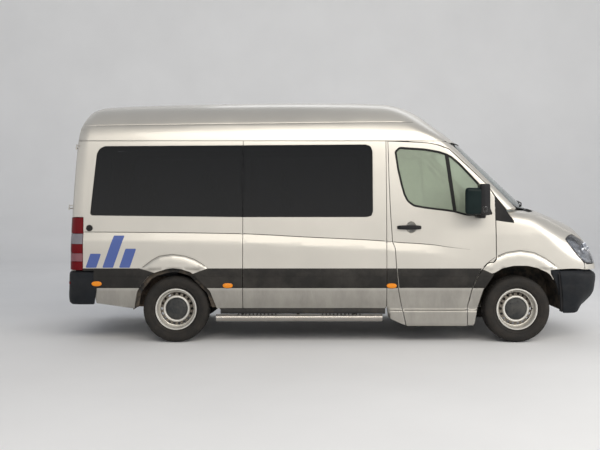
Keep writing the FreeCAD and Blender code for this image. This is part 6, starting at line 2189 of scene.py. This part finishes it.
def inflate(o, held, cap, frames=20, pressure=4.0):
    """Cloth with pressure and no gravity. Seams are pinned, and no point goes further than cap mm."""
    me = o.data
    n = len(me.vertices)
    co = np.zeros(n * 3)
    me.vertices.foreach_get("co", co)
    co = co.reshape(-1, 3)
    hold = held(co * 1000.0)
    vg = o.vertex_groups.new(name="held")
    for i in np.nonzero(hold > 0.05)[0]:
        vg.add([int(i)], float(hold[i]), "REPLACE")
    cm = o.modifiers.new("cloth", "CLOTH")
    st = cm.settings
    st.quality = 4
    st.mass = 0.3
    st.use_pressure = True
    st.uniform_pressure_force = pressure
    st.vertex_group_mass = "held"
    st.effector_weights.gravity = 0.0
    st.tension_stiffness = st.compression_stiffness = 18
    st.bending_stiffness = 0.6
    cm.collision_settings.use_collision = False
    sc = bpy.context.scene
    sc.frame_start, sc.frame_end = 1, frames
    cm.point_cache.frame_start, cm.point_cache.frame_end = 1, frames
    for f in range(1, frames + 1):
        sc.frame_set(f)
    dg = bpy.context.evaluated_depsgraph_get()
    ev = o.evaluated_get(dg)
    out = np.zeros(n * 3)
    ev.data.vertices.foreach_get("co", out)
    out = out.reshape(-1, 3)
    o.modifiers.clear()
    o.vertex_groups.clear()
    sc.frame_set(1)
    d = out - co
    ln = np.linalg.norm(d, axis=1)
    k = np.minimum(1.0, cap * MM / np.maximum(ln, 1e-9))
    out = co + d * k[:, None]
    return out * 1000.0


def superell(cx, cz, rx, rz, n=40, p=0.55, y=0.0, plane="xz"):
    q = []
    for a in np.linspace(0, 2 * math.pi, n, endpoint=False):
        c, s_ = math.cos(a), math.sin(a)
        q.append((cx + rx * math.copysign(abs(c) ** p, c), cz + rz * math.copysign(abs(s_) ** p, s_)))
    return q


# cushion: its own frame, x 0 front to -480 back, y -207…207, z 0 bottom to 118
def cushion_rows():
    rows = []
    for y in np.linspace(-196, 196, 15):
        e = abs(y) / 196
        sh = 1 - 0.10 * e ** 6
        rows.append([(x, y, z) for x, z in superell(-240, 56, 232 * sh, 50 * sh, 48, 0.42)])
    return rows


def back_rows():
    rows = []
    for z in np.linspace(10, 560, 21):
        t = z / 560
        half = (200 if t < 0.6 else 200 - 34 * ((t - 0.6) / 0.4) ** 1.6)
        e = min(t, 1 - t) / 0.06
        sh = 1.0 if e > 1 else 0.72 + 0.28 * math.sin(e * math.pi / 2)
        th = (46 - 10 * t) * (1 if sh > 0.99 else sh)
        q = superell(0, 0, th, half * (0.94 + 0.06 * sh), 48, 0.42)
        rows.append([(x, y, z) for x, y in q])
    return rows


def head_rows():
    rows = []
    for z in np.linspace(0, 186, 11):
        t = z / 186
        e = min(t, 1 - t) / 0.2
        sh = 1.0 if e > 1 else 0.70 + 0.30 * math.sin(e * math.pi / 2)
        rows.append([(x, y, z) for x, y in superell(0, 0, 34 * sh, 122 * (0.88 + 0.12 * sh), 40, 0.5)])
    return rows


def cushion_hold(P):
    x, y, z = P[:, 0], P[:, 1], P[:, 2]
    h = np.exp(-((np.abs(y) - 128) / 9.0) ** 2) * (z > 60) * (x < -30)
    h = np.maximum(h, np.exp(-((x + 150) / 8.0) ** 2) * (z > 60) * (np.abs(y) < 128))
    h = np.maximum(h, np.exp(-((x + 330) / 8.0) ** 2) * (z > 60) * (np.abs(y) < 128))
    h = np.maximum(h, (z < 12) * 1.0)
    h = np.maximum(h, np.exp(-((z - 38) / 8.0) ** 2) * (z < 60))
    return np.clip(h, 0, 1)


def back_hold(P):
    x, y, z = P[:, 0], P[:, 1], P[:, 2]
    h = np.exp(-((np.abs(y) - 128) / 9.0) ** 2) * (x > 0) * (z > 30) * (z < 500)
    for zz in (150, 300, 450):
        h = np.maximum(h, np.exp(-((z - zz) / 8.0) ** 2) * (x > 0) * (np.abs(y) < 128))
    h = np.maximum(h, (x < -20) * 1.0)
    h = np.maximum(h, np.exp(-((x - 6) / 7.0) ** 2) * (np.abs(y) > 150))
    return np.clip(h, 0, 1)


def head_hold(P):
    x, y, z = P[:, 0], P[:, 1], P[:, 2]
    return np.clip(np.exp(-((x) / 7.0) ** 2), 0, 1)


PADS = {}
for nm, rows, hold, cap, vox in (("cushion", cushion_rows(), cushion_hold, 24, 13.0), ("back", back_rows(), back_hold, 22, 13.0), ("head", head_rows(), head_hold, 14, 12.0)):
    o = pad_mesh("pad_" + nm, rows, vox)
    P = inflate(o, hold, cap)
    base = np.zeros(len(P) * 3)
    o.data.vertices.foreach_get("co", base)
    base = base.reshape(-1, 3) * 1000.0
    h = hold(base)
    if nm != "head":
        # stitched seams sit below the cloth between them
        bm = bmesh.new()
        bm.from_mesh(o.data)
        bm.normal_update()
        bm.verts.ensure_lookup_table()
        nr = np.array([v.normal[:] for v in bm.verts])
        bm.free()
        seam = (h > 0.2) & ((base[:, 2] > 60) if nm == "cushion" else (base[:, 0] > 12))
        P = P - nr * (seam * h * 5.0)[:, None]
    F = [tuple(p.vertices) for p in o.data.polygons]
    PADS[nm] = (P, F)
    bpy.data.objects.remove(o)


def seat_piece(name, part, at, sy=1.0, turn=0.0, nodes=(), mat=None):
    V = np.array(part[0], float)
    V[:, 1] *= sy
    c, s_ = math.cos(turn), math.sin(turn)
    x, z = V[:, 0].copy(), V[:, 2].copy()
    V[:, 0], V[:, 2] = x * c - z * s_, x * s_ + z * c
    V += np.array(at, float)
    o = make_object(name, V, part[1], None, mat=mat or FABRIC)
    soft_edges(o, 75)
    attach(o, "body")
    for n in nodes:
        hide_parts(n)
    return o


def make_seat(tag, x, y, w, zc, node):
    sy = w / 415.0
    lean = math.radians(11.5)
    seat_piece("seat_cushion_" + tag, PADS["cushion"], (x - 6, y, zc - 112), sy, 0.0, [node])
    seat_piece("seat_back_" + tag, PADS["back"], (x - 500, y, zc - 12), sy, lean)
    bx, bz = x - 500 - math.sin(lean) * 590, zc - 12 + math.cos(lean) * 590
    seat_piece("seat_head_" + tag, PADS["head"], (bx, y, bz), 1.0, lean)
    fr = []
    # moulded back shell, side cheeks, legs and posts
    rows = []
    for t in np.linspace(0, 1, 12):
        L = 20 + 530 * t
        px, pz = x - 500 - math.sin(lean) * L - 46, zc - 12 + math.cos(lean) * L
        hw = (w / 2 - 12) * (1 - 0.16 * max(0, t - 0.6) / 0.4)
        rows.append([(px - d - 6 * math.cos(math.pi * q / 2), y + hw * q, pz) for q, d in ((-1, -10), (-0.97, 0), (-0.6, 3), (0, 4), (0.6, 3), (0.97, 0), (1, -10))])
    V, F = lattice(rows)
    back = np.array(V)
    fr.append(add((back, F), (back + np.array([5.0, 0, 0]), [f[::-1] for f in F])))
    for k in (-1, 1):
        fr.append(tube([(x - 500 - math.sin(lean) * 540, y + k * 60, zc - 12 + math.cos(lean) * 540), (x - 500 - math.sin(lean) * 640, y + k * 60, zc - 12 + math.cos(lean) * 640)], 6, 10))
        fr.append(block((x - 470, y + k * (w / 2 - 58) - 16, 692), (x - 70, y + k * (w / 2 - 58) + 16, zc - 112), 8, 2))
    fr.append(block((x - 476, y - w / 2 + 40, zc - 128), (x - 56, y + w / 2 - 40, zc - 104), 6, 2))
    fr.append(block((x - 480, y - w / 2 + 26, 692), (x - 60, y + w / 2 - 26, 702), 3, 1))
    piece("seat_frame_" + tag, add(*fr), "body", DASHP, (), 40)
    if node == "passenger_seats":
        arm = add(tube([(x - 500, y - w / 2 + 2, zc + 190), (x - 380, y - w / 2 + 2, zc + 200), (x - 220, y - w / 2 + 2, zc + 196)], [17, 19, 15], 14))
        piece("seat_arm_" + tag, arm, "body", DARKER, (), 50)


for tag, y in (("front_left", 455), ("front_right", -455)):
    make_seat(tag, 1010, y, 500, 1085.0, "front_seats")
n_ = 0
for r, x in enumerate((60, -800, -1660)):
    for c_, y in enumerate((620, 190, -560)):
        make_seat("row%d_%d" % (r + 1, c_ + 1), x, y, 415, 1085.0, "passenger_seats")

# ---------------------------------------------------------------- inside: a grab rail
piece("grab_rail", tube([(560, -700, 1250), (540, -700, 1320), (540, -700, 1960), (560, -700, 2030)], 14, 14), "body", BRIGHT, (), 50)

# ---------------------------------------------------------------- CAD nodes that keep their shape
def finish_node(name, mat):
    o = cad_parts[name]
    for sl in o.material_slots:
        sl.material = mat
    if not o.material_slots:
        o.data.materials.append(mat)


for n, m in (("floor", FLOOR_M), ("chassis_frame", CHASSIS), ("engine", CAST), ("exhaust", EXHAUST), ("front_subframe", CHASSIS), ("rear_axle", CHASSIS), ("leaf_springs", SPRING),
             ("propeller_shaft", CHASSIS), ("fuel_tank", LINER), ("knuckle_left", CAST), ("knuckle_right", CAST), ("bulkhead", DASHP), ("front_wheel_houses", LINER), ("rear_wheel_houses", LINER_R)):
    finish_node(n, m)

# ---------------------------------------------------------------- dark lines: painted shadow along the belt crease, the flares' edges and the roof crease; dark joints at the gutter and the door's foot
def seam(name, lift, run, width, body, mat=None, rise=0.5):
    """A narrow dark strip of this width along a run of points: painted shadow along the creases and the flares' edges,
    a dark joint along the gutter and the door's foot.
    """
    run = np.asarray(run, float)
    d = np.gradient(run, axis=0)
    d /= np.linalg.norm(d, axis=1)[:, None]
    n = np.stack([-d[:, 1], d[:, 0]], 1)
    w = np.full(len(run), width / 2.0) if np.isscalar(width) else np.asarray(width) / 2.0
    rows = []
    for off, up in ((-1.0, -1.2), (-0.8, rise), (0.8, rise), (1.0, -1.2)):
        P, N = lift(run + n * (w * off)[:, None])
        rows.append(P + N * up)
    V, F = lattice(np.array(rows), close_u=True)
    m = len(run)
    F = F + [(0, m, 2 * m, 3 * m)[::-1], (m - 1, 2 * m - 1, 3 * m - 1, 4 * m - 1)]
    piece(name, (V, F), body, mat or CREASE_SHADOW_M, (), 50)


for side, s in SIDES:
    fl = lift_side(f_cab, s)
    wr = lift_wrap(f_cab, s)
    for nm, x0, x1, bd in (("rear", -2692, -1000, "body"), ("bay", -990, 543, "body"), ("door", 622, 1440, "front_door_" + side)):
        xs = np.arange(x0, x1, 22.0)
        w = 6.0 * np.clip((1460 - xs) / 500.0, 0.25, 1)
        seam("belt_seam_%s_%s" % (nm, side), fl, np.stack([xs, BELT_Z(xs) + 3.0], 1), w, bd)
    for nm, ring, x0, x1, bd in (("rear", FLARE_R, -2900, 2900, "body"), ("door", FLARE_F, 0, 1708, "front_door_" + side), ("wing", FLARE_F, 1732, 2900, "body")):
        q = ring[(ring[:, 1] > 806) & (ring[:, 0] > x0) & (ring[:, 0] < x1)]
        q = q[np.argsort(q[:, 0])]
        if len(q) > 3:
            lf = fl if nm != "wing" else lift_side(f_nose, s)
            FRONT_FLARE_ON[0] = 0.0 if nm == "door" else 1.0
            seam("flare_seam_%s_%s" % (nm, side), lf, q, 6.0, bd)
            FRONT_FLARE_ON[0] = 1.0
    xs = np.arange(-2670, 1180, 26.0)
    seam("gutter_seam_" + side, lift_side(lambda P: f_cab(P) - 2.5, s), np.stack([xs, np.full(len(xs), 2170.2)], 1), 5.0, "body", SEAL, -3.0)
    xs = np.arange(-2600, 880, 26.0)
    seam("roof_crease_seam_" + side, fl, np.stack([xs, 2338 + 0.0125 * (xs + 2613)], 1), 4.5, "body", None, 0.3)
    q = np.array([(1567.0, 792.0), (1540.0, 750.0), (1513.0, 706.0), (1490.0, 652.0), (1466.0, 592.0)])
    seam("foot_seam_" + side, lift_side(lambda P: f_clad(P) - 7.5, s), q, 6.0, "body", SEAL, 0.5)

# ---------------------------------------------------------------- floor, light, camera
def plain_stage():
    me = bpy.data.meshes.new("studio_floor")
    bm = bmesh.new()
    rows = []
    prof = [(-14.0, 0.0), (9.0, 0.0)]
    for k in range(0, 13):
        a = k / 12 * math.pi / 2
        prof.append((9.0 + 5.0 * math.sin(a), 5.0 * (1 - math.cos(a))))
    prof.append((14.0, 16.0))
    for y, z in prof:
        rows.append([bm.verts.new((x, y, z - 0.0005)) for x in (-40, -20, 0, 20, 40)])
    for a, b in zip(rows, rows[1:]):
        for i in range(4):
            bm.faces.new((a[i], a[i + 1], b[i + 1], b[i]))
    bm.to_mesh(me)
    o = bpy.data.objects.new("studio_floor", me)
    bpy.context.scene.collection.objects.link(o)
    for p in me.polygons:
        p.use_smooth = True
    m, nt, b, co = material("pale_floor", Roughness=0.75)
    nt.links.new(ramp(nt, noise(nt, co, 0.6, 3), [(0.3, (0.80, 0.80, 0.80)), (0.7, (0.84, 0.84, 0.84))]), b.inputs["Base Color"])
    me.materials.append(m)


plain_stage()


def area(name, loc, to, size, power, colour):
    L = bpy.data.lights.new(name, "AREA")
    L.shape = "RECTANGLE"
    L.size, L.size_y = size
    L.energy = power
    L.color = colour
    o = bpy.data.objects.new(name, L)
    o.location = loc
    o.rotation_euler = (Vector(to) - Vector(loc)).to_track_quat("-Z", "Y").to_euler()
    bpy.context.scene.collection.objects.link(o)
    return o


area("key", (2.4, -10.8, 8.6), (0, 0, 1.2), (15, 4.5), 980, (1.0, 0.95, 0.87))
area("top", (0, 3.0, 9.0), (0, 1.5, 0), (18, 12), 120, (0.93, 0.96, 1.0))
area("back", (2.0, 6.5, 9.5), (0, 0, 1.2), (10, 3), 120, (0.93, 0.96, 1.0))
area("nose", (9.5, -5.5, 4.6), (0.8, 0, 1.2), (5, 4), 330, (1.0, 0.98, 0.95))
world = bpy.data.worlds.new("world")
bpy.context.scene.world = world
world.use_nodes = True
wn = world.node_tree
bg = wn.nodes["Background"]
bg.inputs[1].default_value = 0.90
wc = wn.nodes.new("ShaderNodeTexCoord")
ws_ = wn.nodes.new("ShaderNodeSeparateXYZ")
wn.links.new(wc.outputs["Generated"], ws_.inputs[0])
wn.links.new(ramp(wn, ws_.outputs[2], [(0.04, (0.98, 0.975, 0.965)), (0.36, (0.56, 0.575, 0.60)), (0.95, (0.19, 0.20, 0.23))]), bg.inputs[0])

cam_data = bpy.data.cameras.new("camera")
cam_data.lens = 45.0
cam_data.sensor_width = 36.0
cam_data.shift_y = -0.0447
cam_data.clip_end = 200
cam = bpy.data.objects.new("camera", cam_data)
cam.location = (-0.381, -9.0, 1.55)
cam.rotation_euler = (math.pi / 2, 0, 0)
bpy.context.scene.collection.objects.link(cam)
bpy.context.scene.camera = cam
bpy.context.scene.view_settings.view_transform = "Standard"
